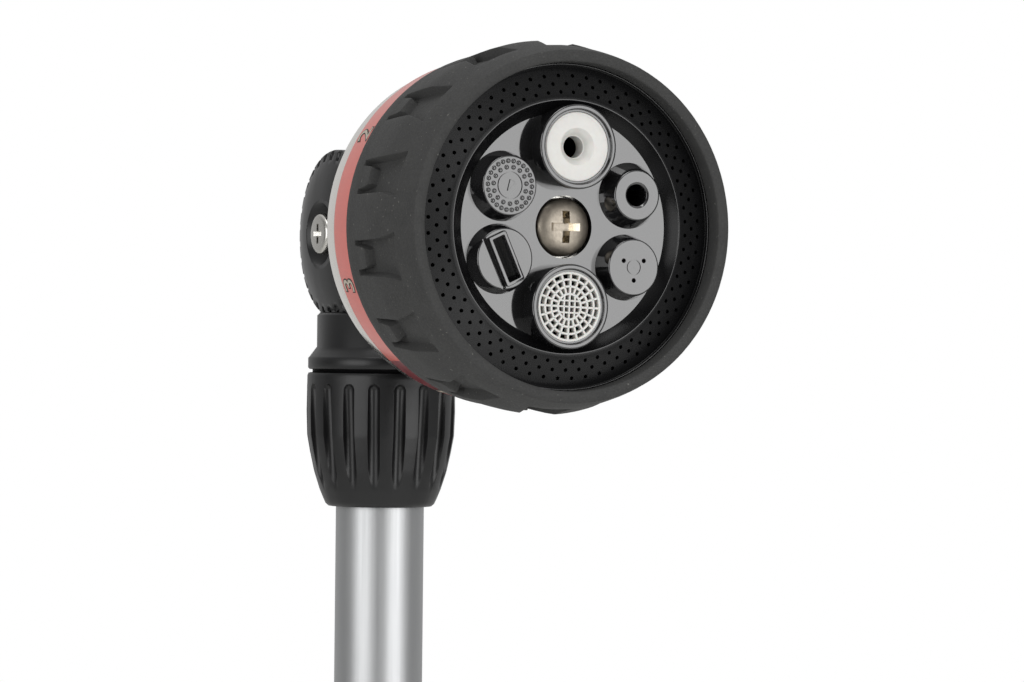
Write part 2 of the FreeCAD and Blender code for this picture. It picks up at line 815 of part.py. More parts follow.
def dial_screw():
    """Large domed cross-head screw that holds the dial on the spindle."""
    base = spindle_end + washer_thickness
    shoulder = face_front - screw_head_sink
    top = shoulder + screw_head_rise
    share, rise = screw_dome
    head = turned((0, base), (screw_head_r, base), (screw_head_r, shoulder),
                  (screw_head_r * share, shoulder + rise, 0, top))
    shank = cylinder(dial_screw_r, spindle_end - dial_screw_length, base)
    length, width, depth = screw_cross
    arms = [block(middle(length), middle(width), (top - depth, top + over)),
            block(middle(width), middle(length), (top - depth, top + over))]
    return on_head(head.fuse(shank).cut(arms))


# ---------------------------------------------------------------- spray dial
def nozzle_sizes():
    return (soft_sizes, jet_sizes, cone_sizes, soaker_sizes, flat_sizes, mist_sizes)


def feed_holes():
    """Cutters for the holes that feed the outer ring of the shower."""
    hole = cylinder(feed_r, port_plate_back - over, port_plate_front + dial_web + over, feed_radius)
    return around(hole, feed_count, feed_first)


def dial_shell():
    """Barrel of the dial, with the inner wall that keeps the shower's water apart."""
    body = ring(dial_bore_r, dial_shell_r, dial_back, dial_front)
    wall = ring(barrel_r - barrel_wall, barrel_r, port_plate_front, face_front - face_thickness)
    web = ring(barrel_r - barrel_wall, dial_bore_r + dial_web_bite, port_plate_front, port_plate_front + dial_web)
    return on_dial(body.fuse([wall, web]).cut(feed_holes()))


def port_plate():
    """Rear plate of the dial: one port for each nozzle, and click pockets on its back."""
    body = cylinder(dial_bore_r, port_plate_back, port_plate_front)
    body = body.fuse(cylinder(hub_r, port_plate_front, spindle_end - hub_gap))
    cuts = [cylinder(spindle_r + running_fit, port_plate_back - over, spindle_end + over)]
    for angle, face, top, rise in nozzle_sizes():
        x, y = polar(outlet_radius, angle)
        click_x, click_y = polar(detent_radius, angle)
        cuts.append(cylinder(nozzle_bore_r, port_plate_back - over, port_plate_front + over, x, y))
        click = Vector(click_x, click_y, port_plate_back + detent_depth - detent_ball_r)
        cuts.append(Part.makeSphere(detent_ball_r, click))
    return on_dial(body.cut(cuts + feed_holes()))


def label_band():
    front = rubber_back - band_gap
    body = turned((dial_shell_r, dial_back), (band_r - ring_edge, dial_back), (band_r, dial_back + ring_edge),
                  (band_r + band_flare, front), (dial_shell_r, front))
    return on_dial(body)


def grip_ring():
    """Rubber tyre round the dial, with deep pockets and a low block at the back of each."""
    bevel_step, bevel_z = rubber_bevel
    round_off = rubber_front_r - rubber_round
    body = turned(
        (dial_shell_r, rubber_back), (rubber_back_r - ring_edge, rubber_back),
        (rubber_back_r, rubber_back + ring_edge),
        (rubber_crest_r - ring_edge / 2, rubber_crest_back), (rubber_crest_r, pocket_front - pocket_edge),
        (rubber_crest_r - bevel_step, bevel_z), (rubber_front_r, rubber_front - rubber_nose_drop),
        (rubber_front_r - ring_edge, rubber_front - ring_edge, round_off, rubber_front),
        (rubber_lip_r + hem, rubber_front), (rubber_lip_r, rubber_front - hem),
        (rubber_lip_r, dial_front), (dial_shell_r, dial_front))
    floor = rubber_crest_r - pocket_depth
    pocket = block((floor - pocket_edge, rubber_crest_r + over), middle(pocket_width), (pocket_back, pocket_front))
    tread = block((floor - 2 * pocket_edge, floor + tread_height), middle(tread_width), (pocket_back, tread_front))
    half_pitch = full_turn / pocket_count / 2
    body = body.cut(around(pocket, pocket_count, half_pitch))
    return on_dial(body.fuse(around(tread, pocket_count, half_pitch)))


def nozzle_cutters(past):
    """A cutter through the face for each nozzle."""
    cutters = []
    for angle, face, top, rise in nozzle_sizes():
        x, y = polar(outlet_radius, angle)
        cutters.append(cylinder(face, face_front - face_thickness - over, face_front + past, x, y))
    return cutters


def shower_ring():
    """Perforated front ring, a shallow cone whose inner edge stands proud."""
    back = shower_outer - shower_thickness
    ridge = shower_outer + shower_ridge_rise
    face_back = face_front - face_thickness
    body = turned((shower_outer_r, back), (dial_bore_r, back), (dial_bore_r, ridge), (shower_outer_r, ridge),
                  (shower_outer_r, shower_outer), (shower_inner_r, shower_inner),
                  (face_edge_r, face_front), (face_r, face_front), (face_r, face_back),
                  (barrel_r, face_back), (barrel_r, back))
    holes = []
    step = full_turn / shower_per_row
    for row, radius in enumerate(shower_rows):
        hole = cylinder(shower_hole_r, back - over, shower_inner + over, radius)
        holes.extend(around(hole, shower_per_row, step * (row % 2) / 2))
    return on_dial(body.cut(holes).cut(nozzle_cutters(shower_inner)))


def face_plate():
    """Glossy plate between the nozzles."""
    body = cylinder(face_r, face_front - face_thickness, face_front)
    well = cylinder(screw_head_well, face_front - face_thickness - over, face_front + over)
    return on_dial(body.cut([well] + nozzle_cutters(over)))


def nozzle_tip(sizes):
    return face_front + sizes[3]


def nozzle_body(sizes):
    """Barrel from the port plate to the face, then a boss that narrows to its top."""
    face, top = sizes[1:3]
    tip = nozzle_tip(sizes)
    shoulder = face_front - nozzle_shoulder
    body = turned((0, port_plate_front), (nozzle_barrel_r, port_plate_front),
                  (nozzle_barrel_r, shoulder - nozzle_funnel), (face, shoulder),
                  (face, face_front), (top, tip - nozzle_round), (top - nozzle_round, tip), (0, tip))
    return body.cut(cylinder(nozzle_bore_r, port_plate_front - over, tip - nozzle_cap))


def drilled(sizes, hole_r, row_radius=0.0, count=1, first=0.0):
    """Cutters for one row of holes in a nozzle's top."""
    tip = nozzle_tip(sizes)
    return around(cylinder(hole_r, tip - nozzle_drill, tip + over, row_radius), count, first)


def placed(nozzle, sizes):
    x, y = polar(outlet_radius, sizes[0])
    copy = nozzle.copy()
    copy.rotate(Vector(), Vector(0, 0, 1), sizes[0])
    return on_dial(moved(copy, x, y, 0))


def jet_nozzle():
    return placed(nozzle_body(jet_sizes).cut(drilled(jet_sizes, jet_hole_r)), jet_sizes)


def cone_nozzle():
    return placed(nozzle_body(cone_sizes).cut(drilled(cone_sizes, cone_hole_r, *cone_holes)), cone_sizes)


def mist_nozzle():
    inner, outer, depth = mist_chamber
    cap = nozzle_tip(mist_sizes) - nozzle_cap
    cuts = [ring(inner, outer, cap - depth, cap)]
    for radius, count in mist_rows:
        cuts.extend(drilled(mist_sizes, mist_hole_r, radius, count))
    return placed(nozzle_body(mist_sizes).cut(cuts), mist_sizes)


def flat_nozzle():
    tip = nozzle_tip(flat_sizes)
    slot = block(middle(flat_slot[0]), middle(flat_slot[1]), (tip - nozzle_drill, tip + over))
    return placed(nozzle_body(flat_sizes).cut(slot), flat_sizes)


def cup(sizes, floor_depth):
    tip = nozzle_tip(sizes)
    return placed(nozzle_body(sizes).cut(cylinder(cup_bore_r, tip - floor_depth, tip + over)), sizes)


def soft_cup():
    return cup(soft_sizes, soft_depth)


def soft_insert():
    """Pale disc with a funnel down to its hole."""
    tip = nozzle_tip(soft_sizes)
    face = tip - soft_rim
    mouth, throat, hole = soft_funnel
    body = turned((hole, tip - soft_depth), (cup_bore_r, tip - soft_depth), (cup_bore_r, face - ring_edge),
                  (cup_bore_r - ring_edge, face), (mouth, face),
                  (throat, tip - soft_funnel_depths[0], hole, tip - soft_funnel_depths[1]))
    return placed(body, soft_sizes)


def soaker_cup():
    return cup(soaker_sizes, soaker_depth)


def soaker_grille():
    """Pale lattice of rings and spokes in the mouth of the soaker cup."""
    high, low, foot = [nozzle_tip(soaker_sizes) - depth for depth in grille_depths]
    inner = grille_rings[0]
    body = ring(cup_bore_r - grille_rim, cup_bore_r, foot, high)
    rings = [ring(radius - grille_ring_half, radius + grille_ring_half, low, high) for radius in grille_rings]
    reach = (inner - grille_ring_half / 2, cup_bore_r - grille_rim / 2)
    spokes = around(block(reach, middle(2 * grille_spoke_half), (low, high)), grille_spoke_count)
    bars = []
    for offset in (-grille_bar_pitch, 0.0, grille_bar_pitch):
        length = 2 * math.sqrt(inner ** 2 - offset ** 2)
        across = (offset - grille_bar_half, offset + grille_bar_half)
        bars.append(block(middle(length), across, (low, high)))
        bars.append(block(across, middle(length), (low, high)))
    return placed(body.fuse(rings + spokes + bars), soaker_sizes)


# ---------------------------------------------------------------- handle
def hose_nipple():
    """Quick-connect hose nose in one moulding with the nut that screws on to the handle."""
    groove_top = nose_tip_length + ring_groove_width
    body_z = groove_top + nose_lead_in
    lock_z = body_z + nose_body_length
    lock_top = lock_z + nose_lock_length
    nut_top = nut_z + nut_length
    body = turned(
        (waterway_r, 0), (nose_tip_r, 0), (nose_tip_r, nose_tip_length),
        (ring_groove_r, nose_tip_length), (ring_groove_r, groove_top),
        (nose_tip_r, groove_top), (nose_tip_r, body_z - nose_taper),
        (nose_body_r, body_z), (nose_body_r, lock_z),
        (nose_lock_r, lock_z + nose_ramp), (nose_lock_r, lock_top),
        (nose_shoulder_r, lock_top + nose_ramp), (nose_shoulder_r, nut_z),
        (nut_r - hem, nut_z), (nut_r, nut_z + hem),
        (nut_r, nut_top), (core_thread_r, nut_top), (core_thread_r, nut_z + nut_floor),
        (waterway_r, nut_z + nut_floor))
    groove = cylinder(nut_groove_r, nut_z + nut_groove_start, nut_top + over, nut_r + nut_groove_r / 3)
    return body.cut(around(groove, nut_groove_count))


def nipple_o_ring():
    return o_ring(ring_groove_r + o_ring_r, o_ring_r, nose_tip_length + ring_groove_width / 2)


def hose_washer():
    return ring(waterway_r + nut_floor, core_thread_r, nut_z + nut_floor, core_thread_z)


def inlet_filter():
    """Fine strainer that drops into the handle's inlet."""
    high = core_thread_z + filter_thickness
    body = cylinder(core_bore_r + filter_ledge, core_thread_z, high)
    holes = []
    for radius, count in filter_rows:
        holes += around(cylinder(filter_hole_r, core_thread_z - over, high + over, radius), count)
    return body.cut(holes)


def handle_core():
    """Hollow handle moulding with the valve housing at its top."""
    body = turned(
        (core_bore_r, core_thread_z), (core_thread_r, core_thread_z), (core_thread_r, core_flange_z),
        (core_flange_r, core_flange_z), (core_flange_r, grip_low_z), (grip_core_r, grip_low_z),
        (grip_core_r, grip_top_z), (valve_housing_r - hem, grip_top_z), (valve_housing_r, grip_top_z + hem),
        (valve_housing_r, valve_housing_top_z), (core_spigot_r, valve_housing_top_z),
        (core_spigot_r, core_top_z), (valve_chamber_r, core_top_z), (valve_chamber_r, valve_chamber_z),
        (core_bore_r, valve_chamber_z))
    cuts = [cylinder(core_bore_r + filter_ledge, core_thread_z - over, core_thread_z + filter_thickness),
            rod_x(stem_r + running_fit, -valve_housing_r - over, valve_housing_r + over, 0, ball_z)]
    for side in (-1, 1):
        span = [side * stem_ring_x + edge for edge in middle(groove_width)]
        cuts.append(rod_x(stem_r + 2 * small_o_ring_r + 2 * running_fit, *span, 0, ball_z))
    return body.cut(cuts)


def stem_o_rings():
    centre_r = stem_r + running_fit + small_o_ring_r
    return Part.makeCompound([o_ring_x(centre_r, small_o_ring_r, side * stem_ring_x, ball_z) for side in (-1, 1)])


def ball_space():
    return Part.makeSphere(ball_r + running_fit, Vector(0, 0, ball_z))


def valve_seats():
    """The two soft rings that the ball turns between."""
    bore = ball_port_r + seat_lip
    lower = ring(bore, valve_chamber_r, valve_chamber_z, valve_chamber_z + seat_depth)
    upper = ring(bore, valve_chamber_r, valve_chamber_top_z - seat_depth, valve_chamber_top_z)
    return Part.makeCompound([lower.cut(ball_space()), upper.cut(ball_space())])


def valve_retainer():
    """Screwed plug that presses the seats on to the ball and holds the outer tube."""
    low = valve_chamber_top_z
    body = turned((core_bore_r, low), (valve_chamber_r, low), (valve_chamber_r, core_top_z),
                  (outer_tube_r, core_top_z), (outer_tube_r, tube_socket_z), (core_bore_r, tube_socket_z))
    centre = tube_socket_z + tube_seal_z
    depth = 2 * tube_seal_r + running_fit / 2
    return body.cut(ring(outer_tube_r - over, outer_tube_r + depth, centre - depth, centre + depth))


def tube_seal():
    return o_ring(outer_tube_r + tube_seal_r + running_fit / 5, tube_seal_r, tube_socket_z + tube_seal_z)


def tube_collar():
    """Tapered collar that covers the joint between handle and tube."""
    foot_r = valve_housing_r + tube_collar_lip
    return turned(
        (core_spigot_r, valve_housing_top_z), (foot_r - hem / 2, valve_housing_top_z),
        (foot_r, valve_housing_top_z + hem), (foot_r, valve_housing_top_z + tube_collar_band),
        (tube_collar_top_r + tube_collar_cone, core_top_z, tube_collar_top_r, tube_collar_top_z - 2 * hem),
        (tube_collar_top_r - hem, tube_collar_top_z),
        (outer_tube_r, tube_collar_top_z), (outer_tube_r, core_top_z), (core_spigot_r, core_top_z))


def grip_sleeve():
    """Soft sleeve on the handle, swelling under the palm, with ribs for the fingers."""
    flare, swell, waist, straight = [grip_low_z + height for height in grip_heights]
    body = turned(
        (grip_core_r, grip_low_z), (core_flange_r, grip_low_z), (core_flange_r + hem / 4, flare),
        (core_flange_r + grip_swell, swell, core_flange_r - hem / 8, waist),
        (grip_end_r, straight), (grip_end_r, grip_top_z), (grip_core_r, grip_top_z))
    grooves = []
    for index in range(grip_rib_count):
        low = grip_low_z + grip_rib_start + index * grip_rib_pitch
        high = low + grip_rib_width
        grooves.append(ring(core_flange_r - hem / 4, core_flange_r + grip_swell + over, low, high))
    return body.cut(grooves)


# ---------------------------------------------------------------- flow valve
def flow_ball():
    past = ball_r + over
    ball = Part.makeSphere(ball_r, Vector(0, 0, ball_z))
    port = Part.makeCylinder(ball_port_r, 2 * past, Vector(0, -past, ball_z), Vector(0, 1, 0))
    sockets = [rod_x(stem_r, stem_inner_x, past, 0, ball_z), rod_x(stem_r, -past, -stem_inner_x, 0, ball_z)]
    return ball.cut([port] + sockets)


def valve_stems():
    """One stem each side, from a socket in the ball out to the lever."""
    stem = rod_x(stem_r, stem_inner_x, lever_half_width, 0, ball_z)
    stem = stem.cut(rod_x(stem_screw_r, lever_arm_x - stem_screw_depth, lever_half_width + over, 0, ball_z))
    return Part.makeCompound([stem, mirrored_x(stem)])


def lever_sector(inner, outer, half_angle, half_width):
    """Part of a ring about X, centred on the closed lever's direction."""
    past = half_width + over
    body = rod_x(outer, -half_width, half_width).cut(rod_x(inner, -past, past))
    reach = outer + inner
    spread = reach * math.tan(math.radians(half_angle))
    hub = Vector(-past, 0, 0)
    corners = [hub, Vector(-past, reach, -spread), Vector(-past, reach, spread), hub]
    wedge = Part.Face(Part.makePolygon(corners)).extrude(Vector(2 * past, 0, 0))
    return body.common(wedge)


def on_lever(shape):
    copy = shape.copy()
    copy.rotate(Vector(), Vector(1, 0, 0), lever_closed_angle)
    return moved(copy, 0, 0, ball_z)


def flow_lever():
    """Yoke over the valve housing: two arms on the stems and a bar for the thumb."""
    bar_middle = (lever_inner_r + lever_outer_r) / 2
    arm = block((lever_arm_x, lever_half_width), (0, bar_middle), middle(lever_arm_width))
    arm = arm.fuse(rod_x(lever_arm_width / 2 + lever_eye_wall, lever_arm_x, lever_half_width))
    arm = arm.cut(rod_x(stem_r, lever_arm_x - over, lever_half_width + over))
    bar = lever_sector(lever_inner_r, lever_outer_r, lever_half_angle, lever_half_width)
    return on_lever(arm.fuse([mirrored_x(arm), bar]))


def lever_pad():
    half = lever_half_width - lever_pad_inset
    return on_lever(lever_sector(lever_outer_r, lever_outer_r + lever_pad_thickness, lever_pad_angle, half))


def lever_screws():
    seat = lever_half_width
    face = seat + lever_screw_head
    head = rod_x(lever_screw_head_r, seat, face, 0, ball_z)
    screw = head.fuse(rod_x(stem_screw_r, lever_arm_x - stem_screw_depth, seat, 0, ball_z))
    screw = screw.cut(cross_slot(face, lever_slot, ball_z))
    return Part.makeCompound([screw, mirrored_x(screw)])


# ---------------------------------------------------------------- export
PARTS = (
    hose_nipple, nipple_o_ring, hose_washer, inlet_filter, handle_core, grip_sleeve,
    valve_seats, valve_retainer, stem_o_rings, tube_seal, tube_collar,
    flow_ball, valve_stems, flow_lever, lever_pad, lever_screws,
    outer_tube, top_bush, lock_ferrule, lock_collet, lock_collar,
    inner_tube, slide_piston, slide_o_rings, neck, neck_o_ring,
    tilt_screw, tilt_washer, tilt_insert, tilt_o_ring, friction_ring,
    head_housing, trim_ring, valve_plate, plate_o_ring, plate_screws,
    outlet_seal, outlet_spring, detent_ball, detent_spring, dial_washer, dial_screw,
    dial_shell, port_plate, label_band, grip_ring, shower_ring, face_plate,
    soft_cup, soft_insert, jet_nozzle, cone_nozzle, soaker_cup, soaker_grille,
    flat_nozzle, mist_nozzle,
)

os.makedirs("parts", exist_ok=True)
for build in PARTS:
    build().exportStep("parts/" + build.__name__ + ".step")
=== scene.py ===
import math
from math import cos, hypot, pi, radians, sin, sqrt, tau

import bmesh
import bpy
from mathutils import Matrix, Vector


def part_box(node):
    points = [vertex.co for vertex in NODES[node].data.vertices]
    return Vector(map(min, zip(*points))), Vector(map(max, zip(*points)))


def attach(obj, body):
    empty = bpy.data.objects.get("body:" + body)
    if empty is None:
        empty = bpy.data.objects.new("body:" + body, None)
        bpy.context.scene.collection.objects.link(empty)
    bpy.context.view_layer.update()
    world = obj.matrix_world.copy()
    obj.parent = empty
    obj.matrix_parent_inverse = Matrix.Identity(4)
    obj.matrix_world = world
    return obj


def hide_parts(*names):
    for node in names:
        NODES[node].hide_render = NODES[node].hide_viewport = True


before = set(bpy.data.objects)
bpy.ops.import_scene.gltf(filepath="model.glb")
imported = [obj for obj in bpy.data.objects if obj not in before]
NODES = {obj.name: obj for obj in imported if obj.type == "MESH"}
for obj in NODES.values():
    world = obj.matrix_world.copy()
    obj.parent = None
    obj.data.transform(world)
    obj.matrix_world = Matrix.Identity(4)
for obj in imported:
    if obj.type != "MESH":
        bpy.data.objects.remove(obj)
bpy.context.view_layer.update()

MM = 0.001

# ---------- stage, lights and camera
# A plain white studio: pale floor under the wand, a broad softbox each side of the camera and one
# above. The surround looks white but lights the wand only dimly, so that black plastic stays black.


def linear(hex_colour):
    """An sRGB hex colour as the linear RGBA that sockets take."""
    parts = [int(hex_colour[i:i + 2], 16) / 255 for i in (1, 3, 5)]
    return (*[c / 12.92 if c <= 0.04045 else ((c + 0.055) / 1.055) ** 2.4 for c in parts], 1.0)


def add(tree, kind, inputs=(), **settings):
    """A node with its settings, its socket values, and links from any sockets given."""
    made = tree.nodes.new(kind)
    for name, value in settings.items():
        setattr(made, name, value)
    for name, value in dict(inputs).items():
        if isinstance(value, bpy.types.NodeSocket):
            tree.links.new(value, made.inputs[name])
        else:
            made.inputs[name].default_value = value
    return made


def linked(name, data):
    """An object with this data, in the scene."""
    made = bpy.data.objects.new(name, data)
    bpy.context.scene.collection.objects.link(made)
    return made


tilt_z = sum(corner.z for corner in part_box("tilt_screw")) / 2
tilt_axis = Vector((0, 0, tilt_z))

# The camera looks level at the spray head from its left, and leans a little.
camera_turn = radians(-26.5)
camera_distance = 1.0
camera_lean = radians(0.6)
look = Vector((-sin(camera_turn), cos(camera_turn), 0))
across = Vector((cos(camera_turn), sin(camera_turn), 0))
upward = Vector((0, 0, 1))
camera_data = bpy.data.cameras.new("camera")
camera_data.lens = 140.6
camera_data.sensor_width = 36.0
camera_data.clip_end = 50.0
camera = linked("camera", camera_data)
aim_across = 0.0326
aim_down = 0.0261
place = tilt_axis - look * camera_distance + across * aim_across - upward * aim_down
turn = Matrix((across, upward, -look)).transposed().to_4x4()
camera.matrix_world = Matrix.Translation(place) @ turn @ Matrix.Rotation(camera_lean, 4, "Z")
bpy.context.scene.camera = camera
bpy.context.scene.view_settings.view_transform = "Standard"


def softbox(name, azimuth, height, distance, size, radiance):
    """A square lamp at an azimuth about the wand, turned to face the head."""
    lamp = bpy.data.lights.new(name, "AREA")
    lamp.shape = "RECTANGLE"
    lamp.size, lamp.size_y = size
    lamp.energy = radiance * pi * size[0] * size[1]
    lit = linked(name, lamp)
    angle = radians(azimuth)
    spot = tilt_axis + Vector((sin(angle), -cos(angle), 0)) * distance
    spot.z += height
    lit.location = spot
    lit.rotation_euler = (tilt_axis - spot).to_track_quat("-Z", "Y").to_euler()


softbox("softbox_right", 18, 0.0, 1.3, (0.95, 1.0), 3.6)
softbox("softbox_left", -66, 0.1, 1.3, (1.05, 1.0), 2.9)
softbox("softbox_top", -20, 1.5, 0.6, (0.8, 0.8), 3.6)

world = bpy.data.worlds.new("studio")
bpy.context.scene.world = world
world.use_nodes = True
sky = world.node_tree
sky.nodes.clear()
ray = add(sky, "ShaderNodeTexCoord")
facing = add(sky, "ShaderNodeVectorMath", {0: ray.outputs["Generated"], 1: look}, operation="DOT_PRODUCT")
fade = add(sky, "ShaderNodeMapRange", {0: facing.outputs["Value"], 1: -0.5, 2: 0.9, 3: 0.14, 4: 0.62},
           interpolation_type="SMOOTHSTEP")
height = add(sky, "ShaderNodeSeparateXYZ", {0: ray.outputs["Generated"]})
overhead = add(sky, "ShaderNodeMapRange", {0: height.outputs["Z"], 1: 0.35, 2: 0.95, 3: 0.0, 4: 0.6},
               interpolation_type="SMOOTHSTEP")
lit = add(sky, "ShaderNodeMath", {0: fade.outputs[0], 1: overhead.outputs[0]}, operation="ADD")
seen = add(sky, "ShaderNodeLightPath")
level = add(sky, "ShaderNodeMath", {0: lit.outputs[0], 1: seen.outputs["Is Camera Ray"]}, operation="MAXIMUM")
surround = add(sky, "ShaderNodeBackground", {"Color": linear("#ffffff"), "Strength": level.outputs[0]})
add(sky, "ShaderNodeOutputWorld", {"Surface": surround.outputs[0]})


def new_material(name, colour, roughness, **values):
    """A material whose Principled shader has these constants, and its node tree."""
    made = bpy.data.materials.new(name)
    made.use_nodes = True
    shader = made.node_tree.nodes["Principled BSDF"]
    shader.inputs["Base Color"].default_value = linear(colour)
    shader.inputs["Roughness"].default_value = roughness
    for socket, value in values.items():
        shader.inputs[socket.replace("_", " ")].default_value = value
    return made, made.node_tree


def grain(tree, size_mm, detail=3.0, stretch=(1, 1, 1)):
    """Noise whose features are about size_mm across, in the wand's own coordinates."""
    where = add(tree, "ShaderNodeTexCoord")
    scaled = add(tree, "ShaderNodeMapping", {"Vector": where.outputs["Object"], "Scale": stretch})
    return add(tree, "ShaderNodeTexNoise", {"Vector": scaled.outputs[0], "Scale": 1000 / size_mm,
                                            "Detail": detail, "Roughness": 0.6}).outputs[0]


def spread(tree, value, low, high, to_low, to_high):
    """Maps a band of a value on to another band."""
    return add(tree, "ShaderNodeMapRange", {0: value, 1: low, 2: high, 3: to_low, 4: to_high}).outputs[0]


def blend_colours(tree, amount, first, second):
    """Mixes two colours, each of which is a hex value or a socket."""
    first, second = (linear(end) if isinstance(end, str) else end for end in (first, second))
    return add(tree, "ShaderNodeMix", {0: amount, 6: first, 7: second}, data_type="RGBA").outputs[2]


def feed(tree, socket, value):
    """Links a value to a socket of the material's Principled shader."""
    tree.links.new(value, tree.nodes["Principled BSDF"].inputs[socket])


def tinted(tree, amount, first, second):
    feed(tree, "Base Color", blend_colours(tree, amount, first, second))


def roughened(tree, value, low, high, smoothest, roughest):
    feed(tree, "Roughness", spread(tree, value, low, high, smoothest, roughest))


def bump(tree, height, strength, depth_mm):
    """Height in 0 to 1 that stands depth_mm proud."""
    made = add(tree, "ShaderNodeBump", {"Height": height, "Strength": strength, "Distance": depth_mm * MM})
    feed(tree, "Normal", made.outputs[0])


def mesh_of(name, made):
    """A mesh from a bmesh, which is freed."""
    data = bpy.data.meshes.new(name)
    made.to_mesh(data)
    made.free()
    return data


# Floor: matt painted board, barely mottled.
board, board_tree = new_material("painted_board", "#e9e9e7", 0.7)
tone = grain(board_tree, 60.0)
tinted(board_tree, tone, "#e4e4e2", "#eeeeec")
floor_mesh = bmesh.new()
bmesh.ops.create_circle(floor_mesh, cap_ends=True, radius=4.0, segments=96)
floor = linked("floor", mesh_of("floor", floor_mesh))
floor.data.materials.append(board)

# ---------- hose nose
# The push-on nose and the ribbed nut it is moulded with, in glass-filled nylon. It screws on to
# the foot of the handle, and a rubber ring in its groove seals it in the hose connector.


def eased(outline, steps=5):
    """An outline of (r, z) or (r, z, radius) points, with an arc at each point that has a radius."""
    points = []
    count = len(outline)
    for index, corner in enumerate(outline):
        here = Vector(corner[:2])
        if len(corner) == 2:
            points.append(here)
            continue
        back = Vector(outline[index - 1][:2]) - here
        ahead = Vector(outline[(index + 1) % count][:2]) - here
        reach = min(corner[2], back.length * 0.49, ahead.length * 0.49)
        start, end = here + back.normalized() * reach, here + ahead.normalized() * reach
        for step in range(steps + 1):
            share = step / steps
            points.append(start * (1 - share) ** 2 + here * 2 * share * (1 - share) + end * share ** 2)
    return points


def bridged(rows, loop=False):
    """A bmesh of bands between rows of points that each go once round, and the rows' vertices."""
    made = bmesh.new()
    rings = [[made.verts.new(point) for point in row] for row in rows]
    for lower, upper in zip(rings, rings[1:] + rings[:1] if loop else rings[1:]):
        for index in range(len(lower)):
            after = (index + 1) % len(lower)
            made.faces.new((lower[index], lower[after], upper[after], upper[index]))
    return made, rings


def skin(rows, loop):
    """A closed shape through rows of points. A loop joins the last row to the first."""
    made, rings = bridged(rows, loop)
    if not loop:
        made.faces.new(rings[0])
        made.faces.new(rings[-1])
    bmesh.ops.recalc_face_normals(made, faces=made.faces)
    return made


def around(radius, angle, z):
    return Vector((radius * cos(angle), radius * sin(angle), z))


def lathed(outline, turns=96, loop=True):
    """An outline turned about Z. Without a loop, its two ends are closed across the axis."""
    angles = [tau * index / turns for index in range(turns)]
    return skin([[around(point[0], angle, point[1]) for angle in angles] for point in outline], loop)


def finished(name, made, place, body, material, stands_for=(), crease=35):
    """Turns a bmesh in millimetres into a piece in the wand's frame, with crisp edges kept sharp."""
    data = mesh_of(name, made)
    data.transform(place @ Matrix.Scale(MM, 4))
    data.materials.append(material)
    data.shade_smooth()
    data.set_sharp_from_angle(angle=radians(crease))
    piece = linked(name, data)
    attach(piece, body)
    if stands_for:
        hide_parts(*stands_for)
    return piece


def dress(nodes, material):
    """Gives CAD pieces that stay as they are a finished material."""
    for name in nodes:
        data = NODES[name].data
        data.materials.clear()
        data.materials.append(material)


UPRIGHT = Matrix.Identity(4)

# Glass-filled nylon, moulded: dull black with a faint grey cloud where the fibres surface.
nylon, nylon_tree = new_material("glass_filled_nylon", "#1d1d1e", 0.5)
cloud = grain(nylon_tree, 3.0)
fibre = grain(nylon_tree, 0.5, stretch=(1, 1, 0.3))
tinted(nylon_tree, cloud, "#18181a", "#262627")
roughened(nylon_tree, fibre, 0.3, 0.7, 0.42, 0.6)
bump(nylon_tree, fibre, 0.35, 0.04)

nut_low = 24.0
nut_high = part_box("hose_nipple")[1].z / MM
nut_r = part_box("hose_nipple")[1].x / MM
rib_count = 24
rib_depth = 0.75
nose = [(4.4, 0.0, 0.5), (6.1, 0.0, 0.5), (6.1, 4.6, 0.2), (4.9, 4.7), (4.9, 7.1), (6.1, 7.2, 0.2), (6.1, 9.8),
        (7.95, 11.6, 0.4), (7.95, 16.8, 0.3), (6.7, 17.4, 0.3), (6.7, 20.8, 0.3), (8.6, 21.4, 0.3)]
skirt = [(8.6, nut_low, 0.6), (nut_r - 0.4, nut_low, 1.2), (nut_r, nut_low + 3.0), (nut_r, nut_high - 1.4),
         (nut_r - 0.4, nut_high, 0.4), (13.2, nut_high), (13.2, 27.0), (4.4, 27.0)]
nose_rows = []
per_rib = 8
for point in eased(nose + skirt):
    row = []
    for index in range(rib_count * per_rib):
        angle = tau * index / (rib_count * per_rib)
        wave = max(0.0, cos(angle * rib_count)) ** 3
        ribbed = point[0] > nut_r - 0.6 and nut_low + 1.0 < point[1] < nut_high - 0.2
        row.append(around(point[0] - (rib_depth * wave if ribbed else 0.0), angle, point[1]))
    nose_rows.append(row)
finished("hose_nose", skin(nose_rows, True), UPRIGHT, "handle", nylon, ["hose_nipple"])

# Nitrile rubber, moulded: near black, with a slight bloom.
nitrile, nitrile_tree = new_material("nitrile_rubber", "#121212", 0.55)
bloom = grain(nitrile_tree, 1.2)
tinted(nitrile_tree, bloom, "#0c0c0c", "#1f1f1f")
bump(nitrile_tree, bloom, 0.2, 0.03)


def torus_outline(centre_r, section_r, z, steps=16):
    return [(centre_r + section_r * cos(tau * index / steps),
             z + section_r * sin(tau * index / steps)) for index in range(steps)]


finished("nose_seal_ring", lathed(torus_outline(5.8, 0.9, 5.9), 64), UPRIGHT, "handle", nitrile,
         ["nipple_o_ring"])

# ---------- handle
# A hollow ABS moulding that carries the water. The foot is a flange; the grip sleeve is soft TPR
# moulded over it; the valve housing above the grip holds the ball valve.

